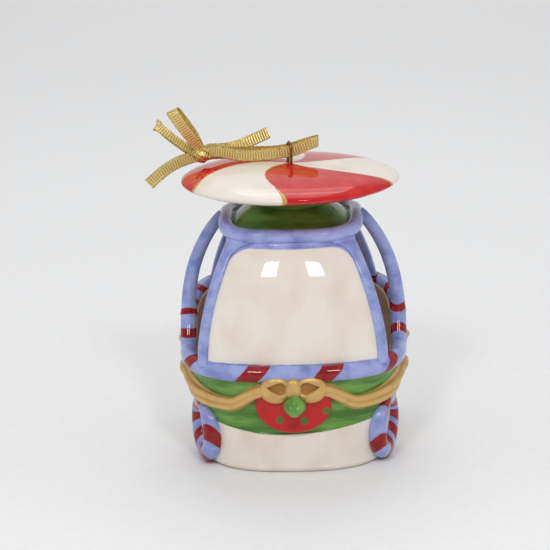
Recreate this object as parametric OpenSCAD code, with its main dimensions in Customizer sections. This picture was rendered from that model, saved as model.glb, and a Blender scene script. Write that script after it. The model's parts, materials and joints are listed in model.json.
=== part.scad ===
// Hand-painted ceramic bell ornament: a little open cabin on a bell skirt, under a peppermint canopy.
// Millimetres, +Z up, front towards -Y, origin at the centre of the resting foot.

/* [Bell body] */
// Width of the bell at its foot
foot_w = 56.4; // [46:0.2:68]
// Depth of the bell at its foot
foot_d = 58.4; // [48:0.2:70]
// How much wider the body is at the belt than at the foot
belly_w = 7.6; // [0:0.2:10]
// How much deeper the body is at the belt than at the foot
belly_d = 5.6; // [0:0.2:10]
// Curve of the widening: 1 widens evenly, more keeps the body slim until close under the belt
belly_curve = 1.6; // [0.8:0.1:2.4]
// Squareness of the plan at the foot: 2 is an oval, more is squarer
foot_square = 2.8; // [2.2:0.1:5]
// Squareness of the plan at the belt
belt_square = 3.1; // [2.2:0.1:5]
// Thickness of the bell wall
wall = 3.2; // [2:0.1:5]
// Height of the top of the cream skirt at the sides
skirt_h = 17.5; // [12:0.5:20]
// How far the green sash dips at the front and back
sash_dip = 5.2; // [0:0.5:8]

/* [Candy trim] */
// Height of the belt's centre line at the front
belt_z = 31.2; // [26:0.2:38]
// Radius of the belt and of the rear rim
belt_r = 2.4; // [1.6:0.1:3]
// How much higher the rim is where the arches land than the belt is in front
rim_step = 8.8; // [6:0.2:11]
// How much higher the rim is at the rear than at the arches
rim_rise = 3.5; // [0:0.5:5]
// Outer radius of a candy ring
ring_outer_r = 10.3; // [8:0.1:12.4]
// Radius of the candy ring's cord
ring_cord_r = 2.7; // [1.8:0.1:3.2]
// Half the gap between the front and the rear ring of one side
ring_apart = 6; // [0.5:0.5:7]
// How far a ring's middle is sunk under the wall's surface
ring_sunk = 0.7; // [0.5:0.1:2.2]
// Angle by which a ring turns its face forwards
ring_lean = 16; // [0:1:30]

/* [Cabin] */
// Height of the cabin from the belt's centre line to the roof rim's lowest edge
cabin_h = 34.8; // [28:0.2:42]
// How far the front and the rear face stand out past the roof rim's centre line
eaves_out = 1.8; // [0:0.2:3]
// How far a pillar's outer edge stands in from the belt's side, at the belt
sill_in = 4.6; // [3:0.1:7]
// Width of a pillar
pillar_w = 3; // [2.5:0.1:5]
// Depth of a pillar, front to back
pillar_t = 4.2; // [3:0.1:6]
// Thickness of the front and rear panels
panel_t = 2.6; // [2:0.1:4]
// How far the panel's middle stands out past its corners
panel_bulge = 4.5; // [2:0.5:6]
// Radius of the panel's upper corners
corner_r = 4; // [1:0.5:5]
// Radius of an arch's tube
arch_r = 2.2; // [1.6:0.1:2.7]

/* [Roof and canopy] */
// Half width of the roof rim's centre line
roof_half_w = 19.2; // [17:0.2:21]
// Half depth of the roof rim's centre line
roof_half_d = 18.2; // [17:0.2:21]
// Radius of the roof rim's bar
roof_bar_r = 2.1; // [1.6:0.1:2.6]
// Height of the roof from the rim's lowest edge to the roof panel's top
roof_h = 8; // [6.6:0.2:10]
// Radius of the neck that carries the disc
neck_r = 9; // [6:0.5:12]
// Diameter of the peppermint disc
disc_d = 64; // [52:1:77]
// Height of the disc's mid plane over the roof panel's top
disc_lift = 7.3; // [5.8:0.1:9]
// How far the disc's top rises over its mid plane
disc_up = 4.4; // [3:0.1:6]
// How far the disc's underside drops under its mid plane
disc_down = 3.9; // [3:0.1:5]

/* [Eye pin] */
// Diameter of the eye's wire
eye_wire = 0.9; // [0.7:0.1:1.2]
// Inner width of the eye
eye_gap = 3; // [2.6:0.1:4]
// Height of the eye's tip over the disc's top
eye_h = 6.6; // [5.6:0.1:9]
// Turn of the eye about the upright axis, in degrees
eye_turn = 15; // [0:1:30]

/* [Relief] */
// Half height of the garland's gold band at the bow
garland_band = 2; // [1.5:0.1:2.6]
// Half height of the garland's gathered end
garland_end = 3.2; // [2:0.1:3.6]
// Half thickness of the garland
garland_t = 1.9; // [1.4:0.1:2.2]
// How far the garland stands out of the wall
garland_proud = 2; // [1.2:0.1:2.6]
// Half width of the wreath
wreath_half_w = 10.9; // [9:0.1:13.1]
// Half height of the wreath
wreath_half_h = 8.6; // [6:0.1:8.8]
// How far the wreath's middle lies below its green bead
wreath_sag = 0.8; // [0:0.1:0.9]
// Height of the wreath's bead under the belt's centre line
wreath_drop = 8.6; // [7:0.2:10]
// How far the wreath stands out of the wall
wreath_proud = 1.6; // [1:0.1:3]
// Radius of the green bead on the wreath
knob_r = 3.1; // [2:0.1:3.6]

/* [Clapper] */
// Diameter of the clapper's wire
clapper_wire_d = 1.2; // [0.9:0.1:1.4]
// Diameter of the clapper bead
bead_d = 11; // [7:0.5:12]
// Height of the bead's centre over the foot
bead_z = 9; // [7:0.5:12]
// Inner radius of the link ring
link_r = 1.6; // [1.3:0.1:2]

/* [Ribbon] */
// Width of the ribbon
ribbon_w = 3.5; // [2.5:0.1:4]
// Thickness of the ribbon
ribbon_t = 0.4; // [0.3:0.1:0.6]
// Half width of the ribbon's knot
knot_r = 2.9; // [2.2:0.1:3]

/* [Hidden] */

// Facets round the body's plan, round a tube's section, round a ribbon's section and round a wire
plan_steps = 56;
tube_sides = 10;
ribbon_sides = 8;
wire_sides = 24;

// Overlap by which painted relief and trim bite into what they sit on, and the hair between shells
bite = 0.1;
hair = 0.05;

// Heights that add up from the foot
rim_z = belt_z + rim_step;
eaves_z = belt_z + cabin_h;
roof_top_z = eaves_z + roof_h;
disc_z = roof_top_z + disc_lift;
wreath_z = belt_z - wreath_drop;

// ---- Small helpers -------------------------------------------------------------------------

function unit(v) = v / norm(v);
// 0 below 0, 1 above 1, and a smooth rise between
function ease(u) = let (c = min(max(u, 0), 1)) c * c * (3 - 2 * c);
// Point at bearing t on a rounded square of half width a, half depth b and squareness n
function plan(a, b, n, t) =
    let (r = pow(pow(abs(cos(t)) / a, n) + pow(abs(sin(t)) / b, n), -1 / n))
    [r * cos(t), r * sin(t)];
function lift(p, z) = [p.x, p.y, z];

// A closed wall from rings of points that run up its outside and down its inside
module ring_wall(rings) {
    m = len(rings[0]);
    k = len(rings);
    polyhedron([for (r = rings) each r],
        [for (i = [0:k - 1], j = [0:m - 1])
            let (j2 = (j + 1) % m, i2 = (i + 1) % k)
            each [[i * m + j, i2 * m + j, i2 * m + j2], [i * m + j, i2 * m + j2, i * m + j2]]]);
}

// A solid skinned over rings of points, closed flat at both ends
module skin(rings) {
    m = len(rings[0]);
    k = len(rings);
    polyhedron([for (r = rings) each r], concat(
        [for (i = [0:k - 2], j = [0:m - 1])
            let (j2 = (j + 1) % m)
            each [[i * m + j, (i + 1) * m + j, (i + 1) * m + j2], [i * m + j, (i + 1) * m + j2, i * m + j2]]],
        [[for (j = [0:m - 1]) j]],
        [[for (j = [m - 1:-1:0]) (k - 1) * m + j]]));
}

// Direction of travel at point i of a path
function travel(path, i) = unit(path[min(i + 1, len(path) - 1)] - path[max(i - 1, 0)]);

// Oval sections along a path: r1 is the half size towards the side vector, r2 the other one.
// end_grow is the factor that r1 reaches at the path's end.
function sections(path, side, r1, r2, sides, turn = 0, end_grow = 1) =
    [for (i = [0:len(path) - 1])
        let (t = travel(path, i),
             s = unit(side[i] - (side[i] * t) * t),
             u = cross(t, s),
             grow = 1 + (end_grow - 1) * ease(i / (len(path) - 1)))
        [for (j = [0:sides - 1])
            let (w = turn + j * 360 / sides)
            path[i] + r1 * grow * cos(w) * s + r2 * sin(w) * u]];

// ---- The body's shape ----------------------------------------------------------------------

belt_half_w = (foot_w + belly_w) / 2;
belt_half_d = (foot_d + belly_d) / 2;
// Share of the belly's swelling reached at height z
function swell(z) = pow(min(z / belt_z, 1), belly_curve);
// Half width and half depth of the body at height z
function body_a(z) = (foot_w + belly_w * swell(z)) / 2;
function body_b(z) = (foot_d + belly_d * swell(z)) / 2;
function body_square(z) = foot_square + (belt_square - foot_square) * swell(z);
// Ring of the body at a height that may change with the angle; inset pulls it inwards
function body_pt(t, z, inset = 0) =
    lift(plan(body_a(z) - inset, body_b(z) - inset, body_square(z), t), z);
function plan_angles() = [for (i = [0:plan_steps - 1]) 360 * i / plan_steps];

// Lower edge of the green sash
function sash_low(t) = skirt_h - sash_dip * pow(sin(t), 2);
// Centre line of the candy trim: low in front, a step up at the arches, a little rise to the rear
rim_step_from = -7;
rim_step_to = 1;
function trim_z(y) = belt_z + (rim_z - belt_z) * ease((y - rim_step_from) / (rim_step_to - rim_step_from))
    + rim_rise * ease(y / belt_half_d);
trim_inset = 0.6;
function trim_pt(t) =
    let (p = plan(belt_half_w - trim_inset, belt_half_d - trim_inset, belt_square, t))
    lift(p, trim_z(p.y));

// Point of the wall at a share of the way up from the sash's lower edge to the trim's centre line
function sash_pt(t, share, inset) =
    let (p = body_pt(t, belt_z, inset),
         z = sash_low(t) + share * (trim_z(p.y) - sash_low(t)))
    body_pt(t, z, inset);

// Over the skirt the wall is two shells: the green sash outside and the cabin's lining inside
sash_t = wall / 2;

// Shares from 0 to 1 in a number of equal steps, upwards and downwards
function up(steps) = [for (i = [0:steps]) i / steps];
function down(steps) = [for (i = [steps:-1:0]) i / steps];

module bell_skirt() {
    outside = [for (s = up(3)) [for (t = plan_angles()) body_pt(t, s * sash_low(t))]];
    inside = [for (s = down(3)) [for (t = plan_angles()) body_pt(t, s * sash_low(t), wall)]];
    color("antiquewhite") ring_wall(concat(outside, inside));
}

module green_sash() {
    outside = [for (s = up(4)) [for (t = plan_angles()) sash_pt(t, s, 0)]];
    inside = [for (s = down(4)) [for (t = plan_angles()) sash_pt(t, s, sash_t)]];
    color("olivedrab") ring_wall(concat(outside, inside));
}

module cabin_lining() {
    outside = [for (s = up(4)) [for (t = plan_angles()) sash_pt(t, s, sash_t + hair)]];
    inside = [for (s = down(4)) [for (t = plan_angles()) sash_pt(t, s, wall)]];
    color("tan") ring_wall(concat(outside, inside));
}

// Angle at which the trim passes from the front belt to the rear rim
belt_end = 12;
belt_points = 34;
function trim_path(from, to, count) = [for (i = [0:count]) trim_pt(from + (to - from) * i / count)];
function outward(path) = [for (p = path) unit([p.x, p.y, 0])];

module candy_belt() {
    path = trim_path(180 + belt_end, 360 - belt_end, belt_points);
    color("lightsteelblue") skin(sections(path, outward(path), belt_r, belt_r, tube_sides));
}

module candy_rim() {
    path = trim_path(-belt_end, 180 + belt_end, belt_points);
    color("lightpink") skin(sections(path, outward(path), belt_r, belt_r, tube_sides));
}

// ---- The cabin -----------------------------------------------------------------------------

panel_foot_z = belt_z + belt_r - 2 * bite;
rear_foot_z = rim_z + rim_rise + belt_r - 4 * bite;
// The faces stand on the belt, a little in from its widest line, and lean in to the eaves: the
// front's middle slowly at first, and the pillars' outer edges more evenly
sill_half_w = belt_half_w - sill_in;
sill_half_d = belt_half_d - 1;
eaves_half_w = roof_half_w - 0.6;
eaves_half_d = roof_half_d + eaves_out;
front_curve = 2.2;
side_curve = 2;
// Share of the cabin's height at z
function cabin_share(z) = min(max((z - belt_z) / cabin_h, 0), 1);
// Depth of the front face's middle, and half width of a pillar's outer edge, at height z
function face_b(z) = sill_half_d - (sill_half_d - eaves_half_d) * pow(cabin_share(z), front_curve);
function face_a(z) = sill_half_w - (sill_half_w - eaves_half_w) * pow(cabin_share(z), side_curve);
// Point of the front face at x and z, sunk by inset
function face_pt(x, z, inset) = [x, -(face_b(z) - panel_bulge * pow(x / face_a(z), 2) - inset), z];

// A slab of the face between two edges, from height low to high; edges are functions of z, and the
// rows crowd towards the top, where the edges turn
face_rows = 14;
module face_slab(low, high, cols, front, back, left_edge, right_edge) {
    function row(i, inset, shares) =
        let (z = low + (high - low) * sin(90 * i / face_rows), x0 = left_edge(z), x1 = right_edge(z))
        [for (s = shares) face_pt(x0 + (x1 - x0) * s, z, inset)];
    skin([for (i = [0:face_rows]) concat(row(i, front, up(cols)), row(i, back, down(cols)))]);
}

// Half width of the opening between two pillars at height z, rounded in at its top corners
panel_top_z = eaves_z - 2 * bite;
function corner_in(z) =
    let (rise = min(max(z - panel_top_z + corner_r, 0), corner_r))
    corner_r - sqrt(corner_r * corner_r - rise * rise);
function panel_a(z) = face_a(z) - pillar_w - corner_in(z);

module panel(low) {
    face_slab(low, panel_top_z, 8, 0, panel_t,
        function (z) hair - panel_a(z), function (z) panel_a(z) - hair);
}

module front_panel() {
    color("linen") panel(panel_foot_z);
}

module rear_panel() {
    color("linen") rotate([0, 0, 180]) panel(rear_foot_z);
}

// How far a pillar stands out of the panel
pillar_proud = 0.7;
module pillar(low, side) {
    face_slab(low, eaves_z, 2, -pillar_proud, pillar_t - pillar_proud,
        function (z) side > 0 ? panel_a(z) : -face_a(z),
        function (z) side > 0 ? face_a(z) : -panel_a(z));
}

module front_left_pillar() {
    color("cornflowerblue") pillar(panel_foot_z, -1);
}

module front_right_pillar() {
    color("cornflowerblue") pillar(panel_foot_z, 1);
}

module rear_left_pillar() {
    color("cornflowerblue") rotate([0, 0, 180]) pillar(rear_foot_z, 1);
}

module rear_right_pillar() {
    color("cornflowerblue") rotate([0, 0, 180]) pillar(rear_foot_z, -1);
}

// Squareness of the roof's plan, and how much higher its rim is at the middle of each side
roof_square = 4;
roof_rim_rise = 2;

// The arch leaves the trim at the widest point, rises nearly upright and curves in to the roof rim
arch_foot = [belt_half_w - trim_inset - bite, 0, rim_z + belt_r - 8 * bite];
arch_head = [roof_half_w + roof_bar_r / 2, 0, roof_rim_z(0) + 4 * bite];
arch_curve = 2.1;
arch_flatten = 1.12;
function arch_pt(u) =
    [arch_foot.x - (arch_foot.x - arch_head.x) * pow(u, arch_curve), 0,
     arch_foot.z + (arch_head.z - arch_foot.z) * (1 - pow(1 - u, arch_flatten))];
arch_steps = 14;

module arch(side) {
    path = [for (i = [0:arch_steps]) let (p = arch_pt(i / arch_steps)) [side * p.x, p.y, p.z]];
    skin(sections(path, [for (p = path) [0, 1, 0]], arch_r, arch_r, tube_sides));
}

module left_arch() {
    color("slateblue") arch(-1);
}

module right_arch() {
    color("slateblue") arch(1);
}

// ---- Roof, neck and disc -------------------------------------------------------------------

function roof_rim_z(y) = eaves_z + roof_bar_r + roof_rim_rise * (1 - pow(y / roof_half_d, 2));
function roof_rim_pt(t) = let (p = plan(roof_half_w, roof_half_d, roof_square, t)) lift(p, roof_rim_z(p.y));

module roof_rim() {
    rings = [for (t = plan_angles())
        let (p = roof_rim_pt(t), out = unit([p.x, p.y, 0]))
        [for (j = [0:tube_sides - 1])
            let (w = -j * 360 / tube_sides)
            p + roof_bar_r * (cos(w) * out + sin(w) * [0, 0, 1])]];
    color("lightsteelblue") ring_wall(rings);
}

// Thickness of the roof panel, and how far its edge reaches into the rim's bar
roof_t = 2.5;
roof_reach = 0.3;
// Point of the roof skin at share s from the squarish rim (0) to the round neck (1)
function roof_pt(t, s, sunk) =
    let (edge = roof_rim_pt(t),
         out = unit([edge.x, edge.y]),
         rim = [edge.x, edge.y] - (roof_bar_r - roof_reach) * out,
         flat = rim + s * (neck_r * out - rim))
    lift(flat, edge.z + (roof_top_z - edge.z) * sin(90 * s) - sunk);

module roof_panel() {
    top = [for (s = up(4)) [for (t = plan_angles()) roof_pt(t, s, 0)]];
    under = [for (s = down(4)) [for (t = plan_angles()) roof_pt(t, s, roof_t)]];
    color("darkolivegreen") ring_wall(concat(top, under));
}

// Half thickness of the disc's pillow at radius r, as a share of its middle: flat for most of the
// way, then a full round edge
pillow_flat = 2.6;
pillow_edge = 0.55;
function pillow(r) = pow(1 - pow(r / (disc_d / 2), pillow_flat), pillow_edge);
disc_steps = 18;
// Radii that crowd towards the edge, where the pillow turns quickly
function disc_radii() = [for (i = [0:disc_steps]) disc_d / 2 * sin(90 * i / disc_steps)];

// The neck fills the roof panel's round hole and carries the disc on its flat end, which the disc's
// underside is cut to
neck_bottom_z = roof_top_z - roof_t;
neck_top_drop = disc_down * pillow(neck_r);

module neck_bar(h) {
    cylinder(r = neck_r, h = h, $fn = 48);
}

module disc_neck() {
    color("darkolivegreen") translate([0, 0, neck_bottom_z])
        neck_bar(disc_z - neck_top_drop - neck_bottom_z);
}

module peppermint_disc() {
    radii = disc_radii();
    top = [for (i = [0:disc_steps]) [radii[i], disc_up * pillow(radii[i])]];
    under = [for (i = [disc_steps - 1:-1:0]) [radii[i], -disc_down * pillow(radii[i])]];
    color("crimson") translate([0, 0, disc_z]) difference() {
        rotate_extrude($fn = 96) polygon(concat(top, under));
        translate([0, 0, -2 * disc_down]) neck_bar(2 * disc_down - neck_top_drop);
        eye_holes();
    }
}

// The eye is a U of wire: two legs set in the disc, joined by a half round at the top
eye_arc_r = (eye_gap + eye_wire) / 2;
eye_bend_z = disc_z + disc_up + eye_h - eye_wire - eye_gap / 2;
eye_set = 3;
eye_leg_z = disc_z + disc_up - eye_set;

// The two straight legs, h long
module eye_legs(h) {
    for (side = [-1, 1])
        translate([0, side * eye_arc_r, 0]) cylinder(d = eye_wire, h = h, $fn = wire_sides);
}

module eye_holes() {
    translate([0, 0, eye_leg_z - disc_z]) rotate([0, 0, eye_turn]) eye_legs(2 * eye_set);
}

module eye_pin() {
    color("goldenrod") rotate([0, 0, eye_turn]) {
        translate([0, 0, eye_leg_z]) eye_legs(eye_bend_z - eye_leg_z);
        translate([0, 0, eye_bend_z]) rotate([0, -90, 0]) rotate([0, 0, -90])
            rotate_extrude(angle = 180, $fn = 48)
                translate([eye_arc_r, 0]) circle(d = eye_wire, $fn = wire_sides);
    }
}

// ---- Relief --------------------------------------------------------------------------------

// Garland: from the bow near the front middle, a sagging swag, up to a fat end at the widest point.
// It hangs from bearing to bearing, starts beside the bow, passes over the candy ring and ends right
// under the belt.
garland_steps = 20;
garland_from = 285;
garland_to = 355;
garland_top_z = wreath_z + 3.8;
garland_end_z = belt_z - belt_r - garland_end;
garland_low_z = min(2 * ring_outer_r + 1, garland_end_z);
garland_sag = 0.26;
// The rear pair hangs higher, as the rim does
rear_lift = 5;
function garland_z(u) = u < garland_sag
    ? garland_top_z - (garland_top_z - garland_low_z) * ease(u / garland_sag)
    : garland_low_z + (garland_end_z - garland_low_z) * ease((u - garland_sag) / (1 - garland_sag));
function garland_pt(u, rise) =
    body_pt(garland_from + (garland_to - garland_from) * u, garland_z(u) + rise, garland_t - garland_proud);

module garland(side, rear) {
    path = [for (i = [0:garland_steps])
        let (p = garland_pt(i / garland_steps, rear ? rear_lift : 0))
        [side * p.x, rear ? -p.y : p.y, p.z]];
    skin(sections(path, [for (p = path) [0, 0, 1]], garland_band, garland_t, tube_sides, 0,
        garland_end / garland_band));
}

module left_garland() {
    color("burlywood") garland(-1, false);
}

module right_garland() {
    color("burlywood") garland(1, false);
}

module rear_left_garland() {
    color("burlywood") garland(-1, true);
}

module rear_right_garland() {
    color("burlywood") garland(1, true);
}

wreath_face_y = -(body_b(wreath_z) + wreath_proud);
wreath_sunk = 1.8;
wreath_steps = 36;

module oval(half_w, half_h) {
    polygon([for (i = [0:wreath_steps - 1])
        let (w = 360 * i / wreath_steps)
        [half_w * cos(w), half_h * sin(w)]]);
}

module wreath() {
    color("firebrick")
        translate([0, wreath_face_y + wreath_proud + wreath_sunk, wreath_z - wreath_sag]) rotate([90, 0, 0])
        linear_extrude(wreath_proud + wreath_sunk) oval(wreath_half_w, wreath_half_h);
}

// The bow: two oval loops with hollow middles and a strap between them, lying on the wreath
bow_half_w = 4.7;
bow_half_h = 4.1;
bow_out = 4.9;
bow_up = 4.3;
bow_hole_w = 2.6;
bow_hole_h = 1.4;
bow_hole_up = 1;
bow_t = 1.5;
strap_w = 4.4;
strap_h = 6.2;
strap_up = 0.6;

module wreath_bow() {
    color("burlywood") translate([0, wreath_face_y, wreath_z + bow_up]) rotate([90, 0, 0])
        linear_extrude(bow_t) {
            for (side = [-1, 1]) translate([side * bow_out, 0]) difference() {
                oval(bow_half_w, bow_half_h);
                translate([0, bow_hole_up]) oval(bow_hole_w, bow_hole_h);
            }
            translate([0, strap_up]) square([strap_w, strap_h], center = true);
        }
}

// The bead is sunk a fifth of its radius, level with the wreath's middle
module wreath_knob() {
    color("forestgreen") translate([0, wreath_face_y - 0.8 * knob_r, wreath_z]) sphere(r = knob_r, $fn = 32);
}

// Candy ring: a cord round a circle that stands upright against the side wall. Its back is flattened
// wherever it would come out inside the wall.
ring_mid_r = ring_outer_r - ring_cord_r;
ring_y = ring_outer_r + ring_apart;
ring_points = 40;
cord_points = 14;
ring_back_min = 0.2;
function side_x(y, z) =
    let (n = body_square(z))
    body_a(z) * pow(1 - pow(min(abs(y) / body_b(z), 1), n), 1 / n);
ring_x = side_x(ring_y, ring_outer_r) - ring_sunk;
// Middle of the cord at angle t round the ring, from its top towards its forward end
function ring_pt(t) = [
    ring_x - ring_mid_r * sin(t) * sin(ring_lean),
    ring_y + ring_mid_r * sin(t) * cos(ring_lean),
    ring_outer_r + ring_mid_r * cos(t)
];
// Depth of the cord behind its middle
function ring_back(p) =
    min(max(wall - ring_back_min - (side_x(p.y, p.z) - p.x), ring_back_min), ring_cord_r);

module candy_ring(side, end) {
    out = [cos(ring_lean), sin(ring_lean), 0];
    mirror([side < 0 ? 1 : 0, 0, 0]) mirror([0, end < 0 ? 1 : 0, 0])
        ring_wall([for (i = [0:ring_points - 1])
            let (t = i * 360 / ring_points,
                 p = ring_pt(t),
                 away = [-sin(t) * sin(ring_lean), sin(t) * cos(ring_lean), cos(t)],
                 back = ring_back(p))
            [for (j = [0:cord_points - 1])
                let (w = j * 360 / cord_points)
                p + ring_cord_r * cos(w) * away + (sin(w) > 0 ? ring_cord_r : back) * sin(w) * out]]);
}

module front_left_candy_ring() {
    color("lightpink") candy_ring(-1, -1);
}

module front_right_candy_ring() {
    color("lightpink") candy_ring(1, -1);
}

module rear_left_candy_ring() {
    color("lightpink") candy_ring(-1, 1);
}

module rear_right_candy_ring() {
    color("lightpink") candy_ring(1, 1);
}

// ---- Clapper -------------------------------------------------------------------------------

// The staple is a U of wire in the XZ plane under the neck; the link hangs in it in the YZ plane.
// All their bends have the same radius.
bend_r = link_r + clapper_wire_d / 2;
staple_leg = 2;
staple_bend_z = neck_bottom_z - staple_leg;
play = 0.05;
// A ring's centre, so that its top wire hangs in a bend whose lowest wire centre is at z
function hung_in(z) = z + clapper_wire_d + play - bend_r;
link_z = hung_in(staple_bend_z - bend_r);
wire_eye_z = hung_in(link_z - bend_r);

module wire_bend(angle) {
    rotate_extrude(angle = angle, $fn = 48)
        translate([bend_r, 0]) circle(d = clapper_wire_d, $fn = wire_sides);
}

module clapper_staple() {
    color("silver") translate([0, 0, staple_bend_z]) {
        for (side = [-1, 1])
            translate([side * bend_r, 0, 0]) cylinder(d = clapper_wire_d, h = staple_leg, $fn = wire_sides);
        rotate([90, 0, 0]) rotate([0, 0, 180]) wire_bend(180);
    }
}

module clapper_link() {
    color("silver") translate([0, 0, link_z]) rotate([0, 90, 0]) wire_bend(360);
}

module clapper_wire() {
    color("silver") {
        translate([0, 0, wire_eye_z]) rotate([90, 0, 0]) wire_bend(360);
        translate([0, 0, bead_z])
            cylinder(d = clapper_wire_d, h = wire_eye_z - bend_r - bead_z, $fn = wire_sides);
    }
}

module clapper_bead() {
    color("antiquewhite") translate([0, 0, bead_z]) difference() {
        sphere(d = bead_d, $fn = 48);
        cylinder(d = clapper_wire_d, h = bead_d, $fn = wire_sides);
    }
}

// ---- Ribbon --------------------------------------------------------------------------------

// Centre of the knot, and the routes of the strands, each from the knot outwards
knot_at = [-26, 7, 87.4];
loop_route = [[-23.5, 6, 88.4], [-21, 4.8, 88.6], [-18, 3.6, 88.2], [-15, 2.6, 87.8], [-12, 2, 87.8],
    [-9, 1.4, 88], [-6, 0.8, 88.4], [-3, 0.3, 88.8], [0, 0, 89.2], [2.5, 0.2, 89.8], [5, 0.7, 90.8],
    [7, 1.3, 91.4], [8.4, 2.4, 91.6], [8.2, 3.8, 91.4], [6.5, 4.8, 90.8], [4, 5.4, 90],
    [1, 5.8, 89], [-2, 6.2, 88.3], [-5, 6.8, 87.9], [-8, 7.6, 87.7], [-11, 8.4, 87.6],
    [-14, 9, 87.5], [-17, 9.2, 87.4], [-20, 8.8, 87.3], [-23, 8, 87.4]];
bow_a_route = [[-27, 6.2, 89.8], [-28.4, 5.4, 92], [-30, 4.6, 94.4], [-31.6, 4, 96.8], [-33, 3.6, 99],
    [-34, 4, 100.6], [-34.2, 5.2, 101.2], [-33.4, 6.2, 100.4], [-32, 6.8, 98.4], [-30.4, 7.2, 96],
    [-28.8, 7.4, 93.4], [-27.4, 7.4, 90.2]];
bow_b_route = [[-28.6, 7, 88.4], [-30.6, 6.4, 89.8], [-33, 6, 91.6], [-35.4, 5.8, 93.6], [-37.6, 6, 95.4],
    [-39, 6.6, 96.4], [-39.2, 7.8, 96.2], [-38, 8.6, 94.8], [-35.6, 8.8, 92.6], [-33, 8.6, 90.6],
    [-30.8, 8.2, 89], [-28.9, 7.8, 87.8]];
tail_a_route = [[-28.8, 6.4, 86.8], [-31, 5.8, 86.2], [-33.4, 5.2, 85.4], [-35.8, 4.4, 84.2],
    [-38, 3.6, 82.8], [-40, 3, 81.2], [-41.8, 2.6, 79.6]];
tail_b_route = [[-24, 8.9, 88.4], [-21, 10.4, 88.2], [-18, 11.6, 88.3], [-15, 12.2, 88.9],
    [-12, 12.4, 90.1], [-9, 12, 91.4], [-6.2, 11.4, 92.8]];

module strand(route, face) {
    faces = [for (p = route) face];
    color("gold") skin(sections(route, faces, ribbon_w / 2, ribbon_t / 2, ribbon_sides, 180 / ribbon_sides));
}

module ribbon_loop() {
    strand(loop_route, [0, 0, 1]);
}

module ribbon_bow_a() {
    strand(bow_a_route, [1, 0, 0.4]);
}

module ribbon_bow_b() {
    strand(bow_b_route, [0.1, 0.8, 0.6]);
}

module ribbon_tail_a() {
    strand(tail_a_route, [-0.45, 0, 1]);
}

module ribbon_tail_b() {
    strand(tail_b_route, [0, 0.3, 1]);
}

module ribbon_knot() {
    color("gold") translate(knot_at) sphere(r = knot_r, $fn = 24);
}

bell_skirt();
green_sash();
cabin_lining();
candy_belt();
candy_rim();
front_panel();
rear_panel();
front_left_pillar();
front_right_pillar();
rear_left_pillar();
rear_right_pillar();
left_arch();
right_arch();
roof_rim();
roof_panel();
disc_neck();
peppermint_disc();
eye_pin();
left_garland();
right_garland();
rear_left_garland();
rear_right_garland();
wreath();
wreath_bow();
wreath_knob();
front_left_candy_ring();
front_right_candy_ring();
rear_left_candy_ring();
rear_right_candy_ring();
clapper_staple();
clapper_link();
clapper_wire();
clapper_bead();
ribbon_loop();
ribbon_bow_a();
ribbon_bow_b();
ribbon_tail_a();
ribbon_tail_b();
ribbon_knot();
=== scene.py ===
"""Looks of a hand-painted ceramic bell ornament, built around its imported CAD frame.

All shapes are worked out in millimetres as numpy arrays and scaled to metres when they become meshes.
"""

import json
import math
from types import SimpleNamespace

import bpy
import numpy as np
from bpy.props import FloatProperty, FloatVectorProperty, PointerProperty
from mathutils import Matrix, Vector

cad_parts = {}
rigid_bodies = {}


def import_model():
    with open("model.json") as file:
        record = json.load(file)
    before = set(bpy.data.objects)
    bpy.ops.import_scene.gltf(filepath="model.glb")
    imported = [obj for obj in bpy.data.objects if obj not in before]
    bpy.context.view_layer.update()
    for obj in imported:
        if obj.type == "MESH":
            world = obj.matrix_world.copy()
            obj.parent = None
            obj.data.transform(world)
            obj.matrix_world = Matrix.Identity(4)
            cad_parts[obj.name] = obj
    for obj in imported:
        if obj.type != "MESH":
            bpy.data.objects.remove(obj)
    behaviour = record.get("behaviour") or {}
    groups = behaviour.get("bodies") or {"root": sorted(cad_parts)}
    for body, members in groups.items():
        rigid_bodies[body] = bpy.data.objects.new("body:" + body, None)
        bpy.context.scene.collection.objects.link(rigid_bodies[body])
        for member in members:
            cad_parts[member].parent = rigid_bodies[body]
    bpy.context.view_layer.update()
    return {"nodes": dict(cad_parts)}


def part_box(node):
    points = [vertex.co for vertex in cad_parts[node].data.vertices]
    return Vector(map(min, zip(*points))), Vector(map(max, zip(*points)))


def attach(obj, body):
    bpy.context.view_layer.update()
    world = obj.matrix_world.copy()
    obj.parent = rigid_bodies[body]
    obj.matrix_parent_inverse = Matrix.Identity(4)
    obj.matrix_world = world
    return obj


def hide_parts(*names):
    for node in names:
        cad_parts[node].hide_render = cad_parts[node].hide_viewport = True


bl_info = {
    "name": "Peppermint bell ornament",
    "version": (1, 0, 0),
    "blender": (4, 5, 0),
    "location": "3D View > Sidebar > Ornament",
    "description": "Builds a glazed ceramic bell ornament with its ribbon and a photo stage",
    "category": "Object",
}

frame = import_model()

MM = 0.001
FULL = 2 * np.pi
SIDES = ((-1, "left"), (1, "right"))


# ---- Colours ---------------------------------------------------------------------------------


def linear(colour):
    """The linear values of an sRGB hex colour."""
    parts = [int(colour[i : i + 2], 16) / 255 for i in (1, 3, 5)]
    return tuple(c / 12.92 if c <= 0.04045 else ((c + 0.055) / 1.055) ** 2.4 for c in parts)


def length(name, description, value):
    """A size that a user would change: given in millimetres, kept in metres."""
    return FloatProperty(name=name, description=description, default=value * MM, min=0, precision=4,
                         unit="LENGTH")


def angle(name, description, degrees):
    """An angle that a user would change: given in degrees, kept in radians."""
    return FloatProperty(name=name, description=description, default=math.radians(degrees), subtype="ANGLE")


def number(name, description, value):
    """A plain number that a user would change."""
    return FloatProperty(name=name, description=description, default=value, min=0)


def paint(name, description, colour):
    """A colour that a user would change."""
    return FloatVectorProperty(
        name=name, description=description, default=linear(colour), subtype="COLOR", size=3, min=0, max=1
    )


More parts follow.
